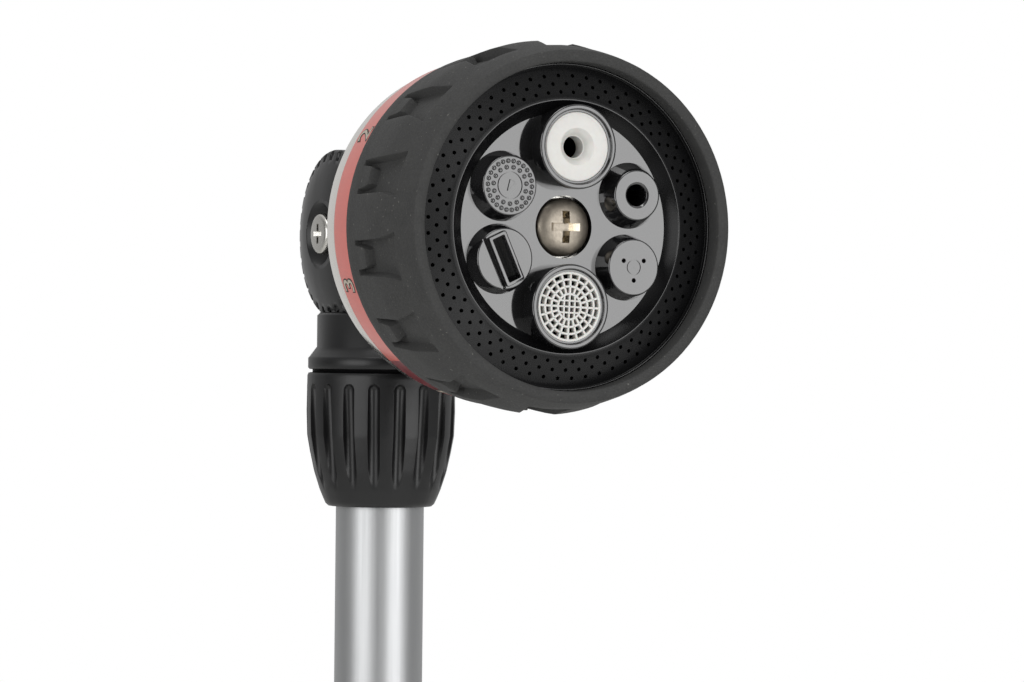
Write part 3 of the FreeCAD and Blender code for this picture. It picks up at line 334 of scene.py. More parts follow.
# ABS, moulded against a fine spark-eroded tool: satin black.
satin_abs, satin_tree = new_material("moulded_abs_satin", "#0e0e0f", 0.34, Specular_IOR_Level=0.4)
pores = grain(satin_tree, 0.35, detail=2.0)
flow = grain(satin_tree, 9.0, stretch=(1, 1, 0.25))
tinted(satin_tree, flow, "#0b0b0c", "#111112")
roughened(satin_tree, flow, 0.3, 0.7, 0.3, 0.42)
bump(satin_tree, pores, 0.25, 0.02)

core_low, core_high = (corner.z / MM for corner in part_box("handle_core"))
grip_low, grip_high = (corner.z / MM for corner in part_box("grip_sleeve"))
housing_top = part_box("tube_collar")[0].z / MM
core = [(8.0, core_low), (13.2, core_low, 0.3), (13.2, 41.0), (17.0, 41.0, 0.6), (17.0, grip_low, 0.4),
        (14.5, grip_low), (14.5, grip_high), (16.5, grip_high, 0.8), (16.5, 155.0, 0.3), (16.0, 155.6), (16.0, 156.6),
        (16.5, 157.2, 0.3), (16.5, housing_top, 0.2), (14.0, housing_top), (14.0, core_high), (12.5, core_high),
        (12.5, 160.0), (8.0, 160.0)]
finished("handle_moulding", lathed(eased(core)), UPRIGHT, "handle", satin_abs, ["handle_core"])

# TPR, moulded in a grained tool: dark grey, dead matt, with pale dust caught in the grain.
tpr, tpr_tree = new_material("moulded_tpr_rubber", "#333332", 0.85)
tool_grain = grain(tpr_tree, 0.45, detail=4.0)
mottle = grain(tpr_tree, 5.0)
dust = grain(tpr_tree, 0.6, detail=0.0)
rubber_tone = blend_colours(tpr_tree, mottle, "#262626", "#343433")
speck = spread(tpr_tree, dust, 0.78, 0.84, 0.0, 0.3)
tinted(tpr_tree, speck, rubber_tone, "#8a8984")
roughened(tpr_tree, tool_grain, 0.3, 0.7, 0.7, 0.95)
bump(tpr_tree, tool_grain, 0.5, 0.06)

palm_bands = 14
palm_first = 16.0
palm_pitch = 5.0
dimple_turns = 28
dimple_depth = 0.7


def grip_radius(z):
    """The sleeve's outside: flared foot, palm swell, waist, and a straight neck."""
    along = (z - grip_low) / (grip_high - grip_low)
    swell = 1.35 * math.exp(-((along - 0.3) / 0.2) ** 2)
    foot = 0.6 * math.exp(-(along / 0.06) ** 2)
    neck = 0.9 * (1 / (1 + math.exp((along - 0.72) * 18)))
    return 16.15 + swell + foot + neck - 0.2


grip_rows = []
fine = 168
heights = [grip_low + 0.01 + (grip_high - grip_low - 0.02) * index / 216 for index in range(217)]
for z in heights:
    row = []
    edge = min(z - grip_low, grip_high - z)
    round_off = 0.5 * max(0.0, 1 - edge / 0.9) ** 2
    band = (z - grip_low - palm_first) / palm_pitch
    inside = -0.2 < band < palm_bands
    ring = cos(tau * (band - 0.5)) if inside else -1.0
    for index in range(fine):
        angle = tau * index / fine
        stagger = pi * (math.floor(band) % 2)
        dimple = max(0.0, ring) * max(0.0, cos(angle * dimple_turns / 2 + stagger)) if inside else 0.0
        row.append(around(grip_radius(z) - round_off - dimple_depth * min(1.0, dimple * 1.6), angle, z))
    grip_rows.append(row)
for z in (grip_high, grip_low):
    grip_rows.append([around(14.5, tau * index / fine, z) for index in range(fine)])
finished("grip_sleeve_soft", skin(grip_rows, True), UPRIGHT, "handle", tpr, ["grip_sleeve"], 50)

# The tapered collar over the joint between handle and tube, in polished ABS.
gloss_abs, gloss_tree = new_material("moulded_abs_polished", "#0e0e0f", 0.16)
ripple = grain(gloss_tree, 6.0, detail=1.0)
wear = grain(gloss_tree, 0.6, detail=5.0)
roughened(gloss_tree, wear, 0.35, 0.75, 0.12, 0.24)
tinted(gloss_tree, ripple, "#0b0b0c", "#121213")
bump(gloss_tree, ripple, 0.12, 0.03)

collar_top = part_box("tube_collar")[1].z / MM
taper = [(14.0, housing_top), (17.4, housing_top, 0.3), (17.7, housing_top + 0.8, 0.3),
         (17.7, housing_top + 7.0, 0.5), (17.1, housing_top + 8.0, 0.4), (15.9, housing_top + 22.0, 3.0),
         (13.4, collar_top - 2.0, 1.2), (12.6, collar_top, 0.8), (11.05, collar_top), (11.05, 222.0), (14.0, 222.0)]
finished("tube_taper", lathed(eased(taper)), UPRIGHT, "handle", gloss_abs, ["tube_collar"])

# ---------- thumb lever
# A U-shaped yoke over the valve housing, in polished ABS, keyed on to a stem each side. A ribbed
# TPR pad is moulded on its bar, and a stainless screw holds each arm.


def inward(outline, distance):
    """A closed outline moved inwards by a distance."""
    moved = []
    for index, corner in enumerate(outline):
        back = (corner - outline[index - 1]).normalized()
        ahead = (outline[(index + 1) % len(outline)] - corner).normalized()
        normal = Vector((-back.y - ahead.y, back.x + ahead.x)).normalized()
        reach = distance / max(0.35, normal.dot(Vector((-back.y, back.x))))
        moved.append(corner + normal * reach)
    return moved


def slab(outline, low, high, soft, steps=4):
    """A plate with this outline, counter-clockwise, whose edges are rounded by soft."""
    levels = [(low + soft * (1 - sin(turn)), soft * (1 - cos(turn)))
              for turn in [pi / 2 * (1 - index / steps) for index in range(steps + 1)]]
    levels += [(high + low - z, inset) for z, inset in reversed(levels)]
    return skin([[Vector((*point, z)) for point in inward(outline, inset)] for z, inset in levels], False)


def rounded_box(wide, tall, corner, steps=4):
    """A rectangle about the origin with rounded corners."""
    points = []
    for quarter, (side, up) in enumerate(((1, 1), (-1, 1), (-1, -1), (1, -1))):
        middle = Vector((side * (wide / 2 - corner), up * (tall / 2 - corner)))
        for index in range(steps + 1):
            turn = pi / 2 * (quarter + index / steps)
            points.append(middle + Vector((cos(turn), sin(turn))) * corner)
    return points


def joined(first, *others):
    """Adds the other shapes to the first."""
    for other in others:
        data = mesh_of("part", other)
        first.from_mesh(data)
        bpy.data.meshes.remove(data)
    return first


ball_z = sum(corner.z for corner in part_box("lever_screws")) / 2
closed = radians(45)
reach_way = Vector((0, cos(closed), -sin(closed)))
side_way = Vector((0, sin(closed), cos(closed)))
LEVER = Matrix.Translation((0, 0, ball_z)) @ Matrix((reach_way, side_way, Vector((1, 0, 0)))).transposed().to_4x4()

arm_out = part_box("flow_lever")[1].x / MM
arm_in = arm_out - 3.0
eye_r = 7.0
arm_half = 4.5
bar_in, bar_out = 29.0, 32.5
arm_outline = [Vector((cos(turn), sin(turn))) * eye_r
               for turn in [radians(50 + 260 * index / 24) for index in range(25)]]
arm_outline += [Vector(corner) for corner in (
    (13.0, -arm_half), (bar_out - 1.6, -arm_half), (bar_out - 0.6, -arm_half + 1.4),
    (bar_out - 0.6, arm_half - 1.4), (bar_out - 1.6, arm_half), (13.0, arm_half))]
arms = slab(arm_outline, arm_in, arm_out, 0.6)
joined(arms, slab(arm_outline, -arm_out, -arm_in, 0.6))


def sector(inner, outer, half_angle, half_width, corner, rows=24, rib=0.0, rib_count=0):
    """A curved bar about the lever's pivot, with an optional row of ribs on its outside."""
    made = []
    for index in range(rows + 1):
        share = 2 * index / rows - 1
        angle = radians(half_angle) * share
        tuck = 1.0 - 0.5 * max(0.0, abs(share) - 0.9) / 0.1
        lift = rib * max(0.0, cos(share * pi * rib_count)) if abs(share) < 0.9 else 0.0
        row = []
        for point in rounded_box(2 * half_width * (0.97 + 0.03 * tuck), (outer - inner) * tuck, corner * tuck):
            radius = (inner + outer) / 2 + point.y + (lift if point.y > 0 else 0.0)
            row.append(Vector((radius * cos(angle), radius * sin(angle), point.x)))
        made.append(row)
    return skin(made, False)


joined(arms, sector(bar_in, bar_out, 9.0, arm_out, 0.7))
finished("thumb_lever", arms, LEVER, "valve_lever", gloss_abs, ["flow_lever"])
pad_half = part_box("lever_pad")[1].x / MM
pad = sector(bar_out - 0.3, bar_out + 1.3, 7.8, pad_half, 0.5, 96, 0.3, 6)
finished("thumb_pad", pad, LEVER, "valve_lever", tpr, ["lever_pad"])

# Stainless steel, cold formed: pale grey metal with fine turning marks.
stainless, stainless_tree = new_material("stainless_steel_formed", "#b9b7b2", 0.25, Metallic=1.0)
marks = grain(stainless_tree, 0.3, stretch=(1, 0.15, 1))
roughened(stainless_tree, marks, 0.3, 0.7, 0.18, 0.38)
bump(stainless_tree, marks, 0.15, 0.02)

# ---------- tubes
# Two drawn aluminium tubes, one inside the other, satin anodised: pale grey with soft vertical
# bands of light and faint draw lines along their length.
anodised, anodised_tree = new_material("satin_anodised_aluminium", "#a9aaab", 0.45, Metallic=1.0)
draw_lines = grain(anodised_tree, 0.25, detail=2.0, stretch=(1, 1, 0.004))
dye = grain(anodised_tree, 14.0, stretch=(1, 1, 0.3))
etch = grain(anodised_tree, 0.3, detail=2.0)
tinted(anodised_tree, dye, "#a3a4a6", "#b0b1b1")
roughened(anodised_tree, draw_lines, 0.3, 0.7, 0.4, 0.5)
bump(anodised_tree, etch, 0.1, 0.01)


def tube(name, node, wall, body):
    low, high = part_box(node)
    outer = high.x / MM
    bottom, top = low.z / MM, high.z / MM
    outline = eased([(outer - wall, bottom, 0.2), (outer, bottom, 0.3), (outer, top, 0.3), (outer - wall, top, 0.2)])
    finished(name, lathed(outline, 128), UPRIGHT, body, anodised, [node])


tube("lower_tube", "outer_tube", 1.0, "handle")
tube("sliding_tube", "inner_tube", 1.0, "inner_slide")

# ---------- twist lock
# The fluted collar that is turned by hand to grip the inner tube. Satin black ABS, with eighteen
# round flutes that fade out where it tapers to the tube.


def soft_least(first, second, blend):
    """The lesser of two values, with a rounded corner where they cross."""
    near = max(blend - abs(first - second), 0.0) / blend
    return min(first, second) - near * near * blend / 4


lock_low, lock_high = (corner.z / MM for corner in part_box("lock_collar"))
lock_top_r = 18.45
lock_bore = 9.4
foot_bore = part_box("outer_tube")[1].x / MM + 0.4
flute_count = 18
flute_r = 1.45
flute_middle = 17.25 + flute_r
flute_top = lock_high - 4.15
flute_lean = math.tan(radians(4.5))
lock_edge = [(lock_top_r - 0.7, lock_high), (lock_top_r - 0.25, lock_high - 0.1), (lock_top_r, lock_high - 0.7),
             (18.56, lock_high - 9.6), (18.35, lock_high - 15.6), (17.63, lock_high - 19.6),
             (16.54, lock_high - 24.6), (15.15, lock_high - 29.0), (14.2, lock_low + 1.9), (13.6, lock_low + 0.6),
             (12.9, lock_low)]


def lock_radius(z):
    """The collar's outside radius, by straight lines between the points of its outline."""
    for (upper_r, upper), (lower_r, lower) in zip(lock_edge, lock_edge[1:]):
        if lower <= z <= upper:
            return lower_r + (upper_r - lower_r) * (z - lower) / (upper - lower)
    return lock_edge[0][0]


flute_marks = [-1.4, -1.15, -1.03, -0.97, -0.85, -0.6, -0.3, 0.0, 0.3, 0.6, 0.85, 0.97, 1.03, 1.15, 1.4]
lock_heights = [lock_high, lock_high - 0.1, lock_high - 0.3, lock_high - 0.7, lock_high - 1.6]
lock_heights += [flute_top + flute_r * sin(pi / 16 * index) for index in range(9)]
lock_heights.append(flute_top + flute_r + 0.15)
lock_heights += [flute_top - 26.8 * index / 40 for index in range(1, 41)]
lock_heights += [lock_low + 1.9, lock_low + 1.2, lock_low + 0.6, lock_low + 0.2, lock_low]
lock_heights = sorted({round(z, 3) for z in lock_heights}, reverse=True)
lock_rows = []
for z in lock_heights:
    edge_r = lock_radius(z)
    above = max(0.0, z - flute_top)
    section = sqrt(max(0.0, flute_r ** 2 - above ** 2))
    middle = flute_middle - flute_lean * (flute_top - z)
    cosine = (middle ** 2 + edge_r ** 2 - section ** 2) / (2 * middle * edge_r)
    half = math.acos(min(1.0, cosine)) if section > 0.1 else 0.0
    if edge_r ** 2 > middle ** 2 - section ** 2:
        half = math.asin(section / middle)
    spacing = max(half, radians(2.2))
    row = []
    for flute in range(flute_count):
        for mark in flute_marks:
            turn = mark * spacing
            sink = middle * sin(turn)
            cut = middle * cos(turn) - sqrt(section ** 2 - sink ** 2) if abs(sink) < section else 99.0
            radius = soft_least(edge_r, cut, 0.3) if half else edge_r
            row.append(around(radius, tau * flute / flute_count + turn, z))
        row.append(around(edge_r, tau * (flute + 0.5) / flute_count, z))
    lock_rows.append(row)
columns = [math.atan2(point.y, point.x) for point in lock_rows[0]]
for bore, z in ((foot_bore, lock_low), (foot_bore, lock_high - 20.0), (lock_bore, lock_high - 20.0),
                (lock_bore, lock_high)):
    lock_rows.append([around(bore, angle, z) for angle in columns])
finished("twist_lock", skin(lock_rows, True), UPRIGHT, "lock_ring", satin_abs, ["lock_collar"], 50)

# ---------- neck and tilt joint
# One ABS moulding makes the neck's flange and its half of the tilt drum. A bright cheese-head
# screw fills the well in the drum's face, and pinches it to the half that belongs to the head.


def refined(name, node, body, material, crease=30):
    """A piece from a CAD node's own shape, merged and smoothed, with its edges kept crisp."""
    made = bmesh.new()
    made.from_mesh(NODES[node].data)
    bmesh.ops.remove_doubles(made, verts=made.verts, dist=1e-6)
    made.transform(Matrix.Scale(1 / MM, 4))
    finished(name, made, UPRIGHT, body, material, [node], crease)


refined("neck_moulding", "neck", "inner_slide", satin_abs)


def evaluated(holder):
    """An object's shape with its modifiers applied."""
    done = bpy.data.meshes.new_from_object(holder.evaluated_get(bpy.context.evaluated_depsgraph_get()))
    result = bmesh.new()
    result.from_mesh(done)
    bpy.data.meshes.remove(done)
    return result


def carved(made, *cutters):
    """The shape with the cutters taken out of it."""
    pieces = [linked("carving", mesh_of("carving", shape)) for shape in (made, *cutters)]
    for cutter in pieces[1:]:
        step = pieces[0].modifiers.new("cut", "BOOLEAN")
        step.operation = "DIFFERENCE"
        step.solver = "EXACT"
        step.object = cutter
    result = evaluated(pieces[0])
    for holder in pieces:
        bpy.data.meshes.remove(holder.data)
    return result


def cross_recess(reach, width, top, depth):
    """Two tapered blades that cross, as a Phillips driver's tip has."""
    blades = []
    for quarter in (0, pi / 2):
        rows = []
        for z, shrink in ((top - depth, 0.45), (top + 0.6, 1.0)):
            half, thick = reach * shrink, width / 2 * (0.7 + 0.3 * shrink)
            corners = ((-half, -thick), (half, -thick), (half, thick), (-half, thick))
            rows.append([Matrix.Rotation(quarter, 3, "Z") @ Vector((x, y, z)) for x, y in corners])
        blades.append(skin(rows, False))
    return blades


def domed_head(radius, edge, rise, skirt, steps=10):
    """Outline of a pan-headed screw: a dome that rises from a straight side of radius at edge."""
    turns = [pi / 2 * index / steps for index in range(steps)]
    dome = [(radius * cos(turn) ** 0.8, edge + rise * sin(turn)) for turn in turns]
    return [(radius, edge - skirt)] + dome + [(0.05, edge + rise)]


SIDEWAYS = Matrix.Translation((0, 0, tilt_z)) @ Matrix.Rotation(radians(-90), 4, "Y")
tilt_head_r = 5.0
tilt_face = -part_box("tilt_screw")[0].x / MM
tilt_edge = [(tilt_head_r, tilt_face - 6.9), (tilt_head_r, tilt_face - 0.7), (tilt_head_r - 0.25, tilt_face - 0.3),
             (tilt_head_r - 0.7, tilt_face - 0.08), (tilt_head_r - 1.2, tilt_face), (0.05, tilt_face)]
tilt_shape = carved(lathed(tilt_edge, 64, False), *cross_recess(2.9, 1.2, tilt_face, 1.6))
finished("tilt_screw_head", tilt_shape, SIDEWAYS, "head", stainless, ["tilt_screw"])

# ---------- head housing and bright ring
# The rear of the spray head: its half of the drum, the arm and the bell, one polished ABS
# moulding, with a vacuum-plated ring pressed over the bell's rim.
HEAD = Matrix.Translation((0, 0, tilt_z)) @ Matrix.Rotation(radians(90), 4, "X")


def reach(node):
    """How far a node of the head starts and ends in front of the tilt axis, in mm."""
    low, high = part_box(node)
    return -high.y / MM, -low.y / MM


refined("head_bell", "head_housing", "head", gloss_abs)

# Vacuum-plated ABS: a bright mirror with the mould's faint waviness.
plated, plated_tree = new_material("vacuum_plated_abs", "#e6e3dd", 0.14, Metallic=1.0)
waviness = grain(plated_tree, 7.0, detail=1.0)
rubbed = grain(plated_tree, 0.8)
roughened(plated_tree, rubbed, 0.35, 0.75, 0.1, 0.26)
bump(plated_tree, waviness, 0.2, 0.05)

ring_back, ring_front = reach("trim_ring")
bell_r = 38.3
bright = [(bell_r, ring_back), (39.1, ring_back, 0.5), (40.0, ring_front, 0.5), (bell_r, ring_front)]
finished("bright_trim_ring", lathed(eased(bright), 160), HEAD, "head", plated, ["trim_ring"])

# ---------- dial: label band
# A printed film band round the dial's barrel, salmon red under a gloss lacquer. It is painted salmon above a set
# height and deep red below it, a painted reflection of the white surround above and the dark below. The number of
# each pattern is printed on it in grey with a black edge.


def spot(node):
    """Where a nozzle's axis stands in the head's own frame, in mm."""
    low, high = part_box(node)
    return Vector(((low.x + high.x) / 2, (low.z + high.z) / 2 - tilt_z)) / MM


dial_turn = math.atan2(spot("soft_cup").y, spot("soft_cup").x) - pi / 2
DIAL = HEAD @ Matrix.Rotation(dial_turn, 4, "Z")

# Printed film: red ink with a fine dot screen, under clear lacquer.
film, film_tree = new_material("lacquered_print_film", "#b8463a", 0.3, Coat_Weight=0.4, Coat_Roughness=0.15)
ink = grain(film_tree, 2.5)
dots = grain(film_tree, 0.4, detail=1.0)
inked = blend_colours(film_tree, ink, "#b5483c", "#c25446")
screened = blend_colours(film_tree, spread(film_tree, dots, 0.45, 0.65, 0.0, 0.2), inked, "#a33c34")
film_place = add(film_tree, "ShaderNodeTexCoord")
film_height = add(film_tree, "ShaderNodeSeparateXYZ", {0: film_place.outputs["Object"]})
# Painted reflection: below this height the film is painted deep red, as if mirroring the dark below; above it,
# salmon, as if mirroring the white surround.
reflection_horizon = add(film_tree, "ShaderNodeMath", {0: film_height.outputs["Z"], 1: tilt_z - 31.0 * MM}, operation="LESS_THAN")
tinted(film_tree, reflection_horizon.outputs[0], screened, "#6e1420")
bump(film_tree, ink, 0.08, 0.02)

band_back, band_front = reach("label_band")
band_back_r, band_front_r = 40.3, 40.8
shell_r = 39.2
band = [(shell_r, band_back), (band_back_r, band_back, 0.3), (band_front_r, band_front), (shell_r, band_front)]
finished("printed_band", lathed(eased(band), 160), DIAL, "dial", film, ["label_band"])

# Printing inks: matt black for the edge of a number, warm grey for its face.
black_ink, black_tree = new_material("screen_ink_black", "#141212", 0.5)
black_patch = grain(black_tree, 0.6)
tinted(black_tree, black_patch, "#0e0c0c", "#1c1919")
grey_ink, grey_tree = new_material("screen_ink_warm_grey", "#a39a8c", 0.45)
grey_patch = grain(grey_tree, 0.6)
tinted(grey_tree, grey_patch, "#978e80", "#b0a798")

number_height = 6.6
number_count = 7
band_middle = (band_back + band_front) / 2 + 0.1
for layer, spreading, lift, ink_used in (("edge", 0.32, 0.0, black_ink), ("face", 0.0, 0.05, grey_ink)):
    figures = bmesh.new()
    for number in range(number_count):
        text = bpy.data.curves.new("figure", "FONT")
        text.body = str(number + 1)
        text.size = number_height * 1.25
        text.align_x = "CENTER"
        text.align_y = "CENTER"
        text.offset = spreading
        text.resolution_u = 4
        flat = bpy.data.meshes.new_from_object(linked("figure", text))
        bpy.data.curves.remove(text)
        for vertex in flat.vertices:
            angle = tau * (number + 0.18) / number_count - vertex.co.x / band_front_r
            along = band_middle - vertex.co.y
            radius = band_back_r + (band_front_r - band_back_r) * (along - band_back) / (band_front - band_back)
            vertex.co = around(radius + 0.03 + lift, angle + pi / 2, along)
        figures.from_mesh(flat)
        bpy.data.meshes.remove(flat)
    finished("printed_numbers_" + layer, figures, DIAL, "dial", ink_used)

# ---------- dial: rubber tyre
# A TPR tyre moulded on the barrel. Fourteen pockets part its lands, and each pocket holds a
# tapered tab at its back; a round nose runs on to the lip inside.
tyre_back, tyre_front = reach("grip_ring")
pocket_count = 14
tyre_r = 42.0
half_pitch = pi * tyre_r / pocket_count
lip_r = 37.4
# along the axis from the tyre's back, land radius, pocket floor, tab radius, half widths of tab and pocket
stations = (
    (0.0, 40.9, None, None, 2.6, 4.1), (0.2, 41.25, None, None, 2.6, 4.1), (0.6, 41.4, None, None, 2.6, 4.1),
    (3.0, 41.55, None, None, 2.7, 4.1), (5.7, 41.75, None, None, 2.8, 4.1), (6.0, 41.8, 40.0, 41.7, 2.8, 4.1),
    (9.0, 42.1, 40.05, 41.95, 2.5, 4.15), (11.4, 42.35, 40.1, 42.15, 2.1, 4.2), (12.2, 42.4, 40.15, 41.2, 1.7, 4.2),
    (12.6, 42.45, 40.15, 40.15, 1.7, 4.2), (16.0, 42.75, 40.3, 40.3, 1.7, 4.25), (20.4, 43.0, 40.5, 40.5, 1.7, 4.3),
    (24.0, 42.3, 40.6, 40.6, 1.7, 4.9), (26.9, 41.72, 40.65, 40.65, 1.7, 5.6), (27.3, 41.65, 41.65, 41.65, 1.7, 5.7),
    (30.0, 41.2, None, None, 1.7, 5.6), (32.2, 40.75, None, None, 1.7, 5.4), (33.4, 40.4, None, None, 1.7, 5.2))
tyre_rows = []
for along, land, floor, tab, tab_half, pocket_half in stations:
    floor = land if floor is None else floor
    tab = land if tab is None else tab
    wall_foot = pocket_half - 0.35
    step = (half_pitch - pocket_half) / 3
    side = [(tab_half, tab), (tab_half + 0.35, floor), (wall_foot, floor), (pocket_half, land),
            (pocket_half + step, land), (pocket_half + 2 * step, land)]
    pitch_points = [(-x, r) for x, r in reversed(side)] + [(0.0, tab)] + side + [(half_pitch, land)]
    row = []
    for pocket in range(pocket_count):
        middle = tau * (pocket + 0.5) / pocket_count
        row += [around(radius, middle + x / tyre_r, tyre_back + along) for x, radius in pitch_points]
    tyre_rows.append(row)
columns = [math.atan2(point.y, point.x) for point in tyre_rows[0]]
nose_steps = 7
nose_out, nose_in = 40.25, lip_r
for index in range(nose_steps + 1):
    turn = pi * index / nose_steps
    radius = (nose_out + nose_in) / 2 + (nose_out - nose_in) / 2 * cos(turn)
    rise = 0.75 * sin(turn) ** 0.7
    tyre_rows.append([around(radius, angle, tyre_front - 0.75 + rise) for angle in columns])
dial_front = reach("dial_shell")[1]
for radius, along in ((lip_r, dial_front), (shell_r, dial_front), (shell_r, tyre_back)):
    tyre_rows.append([around(radius, angle, along) for angle in columns])
tyre = skin(tyre_rows, True)
crisp = [edge for edge in tyre.edges if edge.calc_face_angle(0.0) > radians(28)]
bmesh.ops.bevel(tyre, geom=crisp, offset=0.16, segments=2, profile=0.6, affect="EDGES", clamp_overlap=True)
finished("rubber_tyre", tyre, DIAL, "dial", tpr, ["grip_ring"], 60)

# ---------- dial: perforated shower ring
# The black front ring, a shallow cone with three staggered rows of sixty holes for the shower.
# Its outer and inner edges are moulded sharp and catch a thin line of light.


def geometry_group(name, *inputs):
    """An empty Geometry Nodes group with a geometry input, these named inputs and a geometry output."""
    group = bpy.data.node_groups.new(name, "GeometryNodeTree")
    group.interface.new_socket(name="Geometry", in_out="INPUT", socket_type="NodeSocketGeometry")
    for label, kind in inputs:
        group.interface.new_socket(name=label, in_out="INPUT", socket_type=kind)
    group.interface.new_socket(name="Geometry", in_out="OUTPUT", socket_type="NodeSocketGeometry")
    return group


# Copies of the piece evenly round Z, made real and merged where they meet.
copies = geometry_group("copies_about_axis", ("Count", "NodeSocketInt"), ("Merge", "NodeSocketFloat"),
                        ("Material", "NodeSocketMaterial"))
given = add(copies, "NodeGroupInput").outputs
single = add(copies, "GeometryNodeGeometryToInstance", {0: given["Geometry"]})
many = add(copies, "GeometryNodeDuplicateElements", {"Geometry": single.outputs[0], "Amount": given["Count"]},
           domain="INSTANCE")
share = add(copies, "ShaderNodeMath", {0: many.outputs["Duplicate Index"], 1: given["Count"]}, operation="DIVIDE")
angle_out = add(copies, "ShaderNodeMath", {0: share.outputs[0], 1: tau}, operation="MULTIPLY")
about_z = add(copies, "ShaderNodeCombineXYZ", {"Z": angle_out.outputs[0]})
turned = add(copies, "GeometryNodeRotateInstances", {"Instances": many.outputs["Geometry"],
                                                     "Rotation": about_z.outputs[0]})
real = add(copies, "GeometryNodeRealizeInstances", {0: turned.outputs[0]})
merged = add(copies, "GeometryNodeMergeByDistance", {"Geometry": real.outputs[0], "Distance": given["Merge"]})
coated = add(copies, "GeometryNodeSetMaterial", {"Geometry": merged.outputs[0], "Material": given["Material"]})
add(copies, "NodeGroupOutput", {"Geometry": coated.outputs[0]})


def ringed(made, count, material):
    """The shape repeated evenly about Z."""
    holder = linked("one_of_many", mesh_of("one_of_many", made))
    nodes_step = holder.modifiers.new("copies", "NODES")
    nodes_step.node_group = copies
    sockets = {item.name: item.identifier for item in copies.interface.items_tree if item.in_out == "INPUT"}
    nodes_step[sockets["Count"]] = count
    nodes_step[sockets["Merge"]] = 0.002
    nodes_step[sockets["Material"]] = material
    result = evaluated(holder)
    holder.modifiers.remove(nodes_step)
    bpy.data.meshes.remove(holder.data)
    return result


shower_outer_r, shower_outer = 36.9, 98.9
shower_inner_r, shower_inner = 28.9, 100.9
shower_plate = 1.2
hole_r = 0.46
hole_rows = (34.5, 32.6, 30.7)
row_half = 0.95
per_row = 60
sides_per_cell = 4
cell_angle = tau / per_row


def on_cone(radius, angle, depth=0.0):
    rise = (shower_outer_r - radius) / (shower_outer_r - shower_inner_r) * (shower_inner - shower_outer)
    return around(radius, angle, shower_outer + rise - depth)


def cell(row_r, first):
    """One hole and the patch of ring about it, front, bore and back."""
    border, rim = [], []
    for index in range(sides_per_cell):
        border.append((row_r + row_half, (index / sides_per_cell - 0.5) * cell_angle))
    border += [(row_r + row_half, cell_angle / 2), (row_r, cell_angle / 2)]
    for index in range(sides_per_cell):
        border.append((row_r - row_half, (0.5 - index / sides_per_cell) * cell_angle))
    border += [(row_r - row_half, -cell_angle / 2), (row_r, -cell_angle / 2)]
    for radius, angle in border:
        way = math.atan2(angle * row_r, radius - row_r)
        rim.append((row_r + hole_r * cos(way), hole_r * sin(way) / row_r))
    levels = [(border, 0.0), (rim, 0.0), (rim, shower_plate), (border, shower_plate)]
    return bridged([[on_cone(radius, angle + first, depth) for radius, angle in line] for line, depth in levels])[0]


# ABS moulded against a dull face: black with a broad, weak shine.
ring_abs, ring_tree = new_material("moulded_abs_semi_gloss", "#0c0c0d", 0.3, Specular_IOR_Level=0.2)
ring_pores = grain(ring_tree, 0.5)
ring_cloud = grain(ring_tree, 4.0)
tinted(ring_tree, ring_cloud, "#0a0a0b", "#101011")
roughened(ring_tree, ring_pores, 0.3, 0.7, 0.26, 0.3)
bump(ring_tree, ring_cloud, 0.1, 0.02)

cells = cell(hole_rows[0], 0.0)
joined(cells, cell(hole_rows[1], cell_angle / 2), cell(hole_rows[2], 0.0))
shower = ringed(cells, per_row, ring_abs)
face_front = reach("face_plate")[1]
face_edge_r = 26.0
hole_outer, hole_inner = hole_rows[0] + row_half, hole_rows[-1] - row_half
ridge_r = 37.3
ridge_top = shower_outer + 0.85
bead_r = (ridge_r - shower_outer_r) / 2
bead_middle = (ridge_r + shower_outer_r) / 2
bead_turns = [pi * index / 6 for index in range(7)]


def cone_point(radius, depth=0.0):
    point = on_cone(radius, 0.0, depth)
    return (radius, point.z)


outer_strip = [cone_point(hole_outer), cone_point(shower_outer_r - 0.1), (shower_outer_r, shower_outer + 0.1),
               *[(bead_middle - bead_r * cos(turn), ridge_top + bead_r * sin(turn)) for turn in bead_turns],
               (ridge_r, shower_outer - 1.5), (shower_outer_r, shower_outer - 1.6),
               cone_point(hole_outer, shower_plate)]
inner_strip = [cone_point(hole_inner, shower_plate), (hole_inner, shower_outer - 0.6), (27.2, face_front - 0.5),
               (face_edge_r + 0.1, face_front - 0.4), (face_edge_r, face_front),
               (face_edge_r + 0.25, face_front + 0.15), (shower_inner_r - 0.15, shower_inner - 0.2),
               (shower_inner_r - 0.05, shower_inner + 0.02),
               (shower_inner_r + 0.12, shower_inner + 0.02), cone_point(hole_inner)]
turns = per_row * sides_per_cell
for strip in (outer_strip, inner_strip):
    joined(shower, bridged([[around(radius, tau * index / turns, z) for index in range(turns)]
                            for radius, z in strip])[0])
bmesh.ops.remove_doubles(shower, verts=shower.verts, dist=0.002)
bmesh.ops.recalc_face_normals(shower, faces=shower.faces)
for face in shower.faces:
    middle = face.calc_center_median()
    radius = hypot(middle.x, middle.y)
    on_edge = abs(radius - shower_inner_r) < 0.2 and middle.z > shower_inner - 0.12
    face.material_index = 1 if on_edge or middle.z > ridge_top and radius > shower_outer_r else 0
ring_piece = finished("perforated_ring", shower, DIAL, "dial", ring_abs, ["shower_ring"], 40)
ring_piece.data.materials.append(gloss_abs)

# ---------- dial: face plate
# The plate between the nozzles, ABS moulded against a mirror-polished face, so it shows the
# softbox as a flat grey.
mirror_abs, mirror_tree = new_material("moulded_abs_mirror", "#171718", 0.07, IOR=1.6,
                                                         Coat_Weight=0.9, Coat_Roughness=0.08)
swirl = grain(mirror_tree, 9.0, detail=1.0)
scuffs = grain(mirror_tree, 1.4, detail=5.0)
tinted(mirror_tree, scuffs, "#0f0f10", "#171718")
roughened(mirror_tree, scuffs, 0.45, 0.8, 0.06, 0.16)
bump(mirror_tree, swirl, 0.05, 0.03)
dress(["face_plate"], mirror_abs)

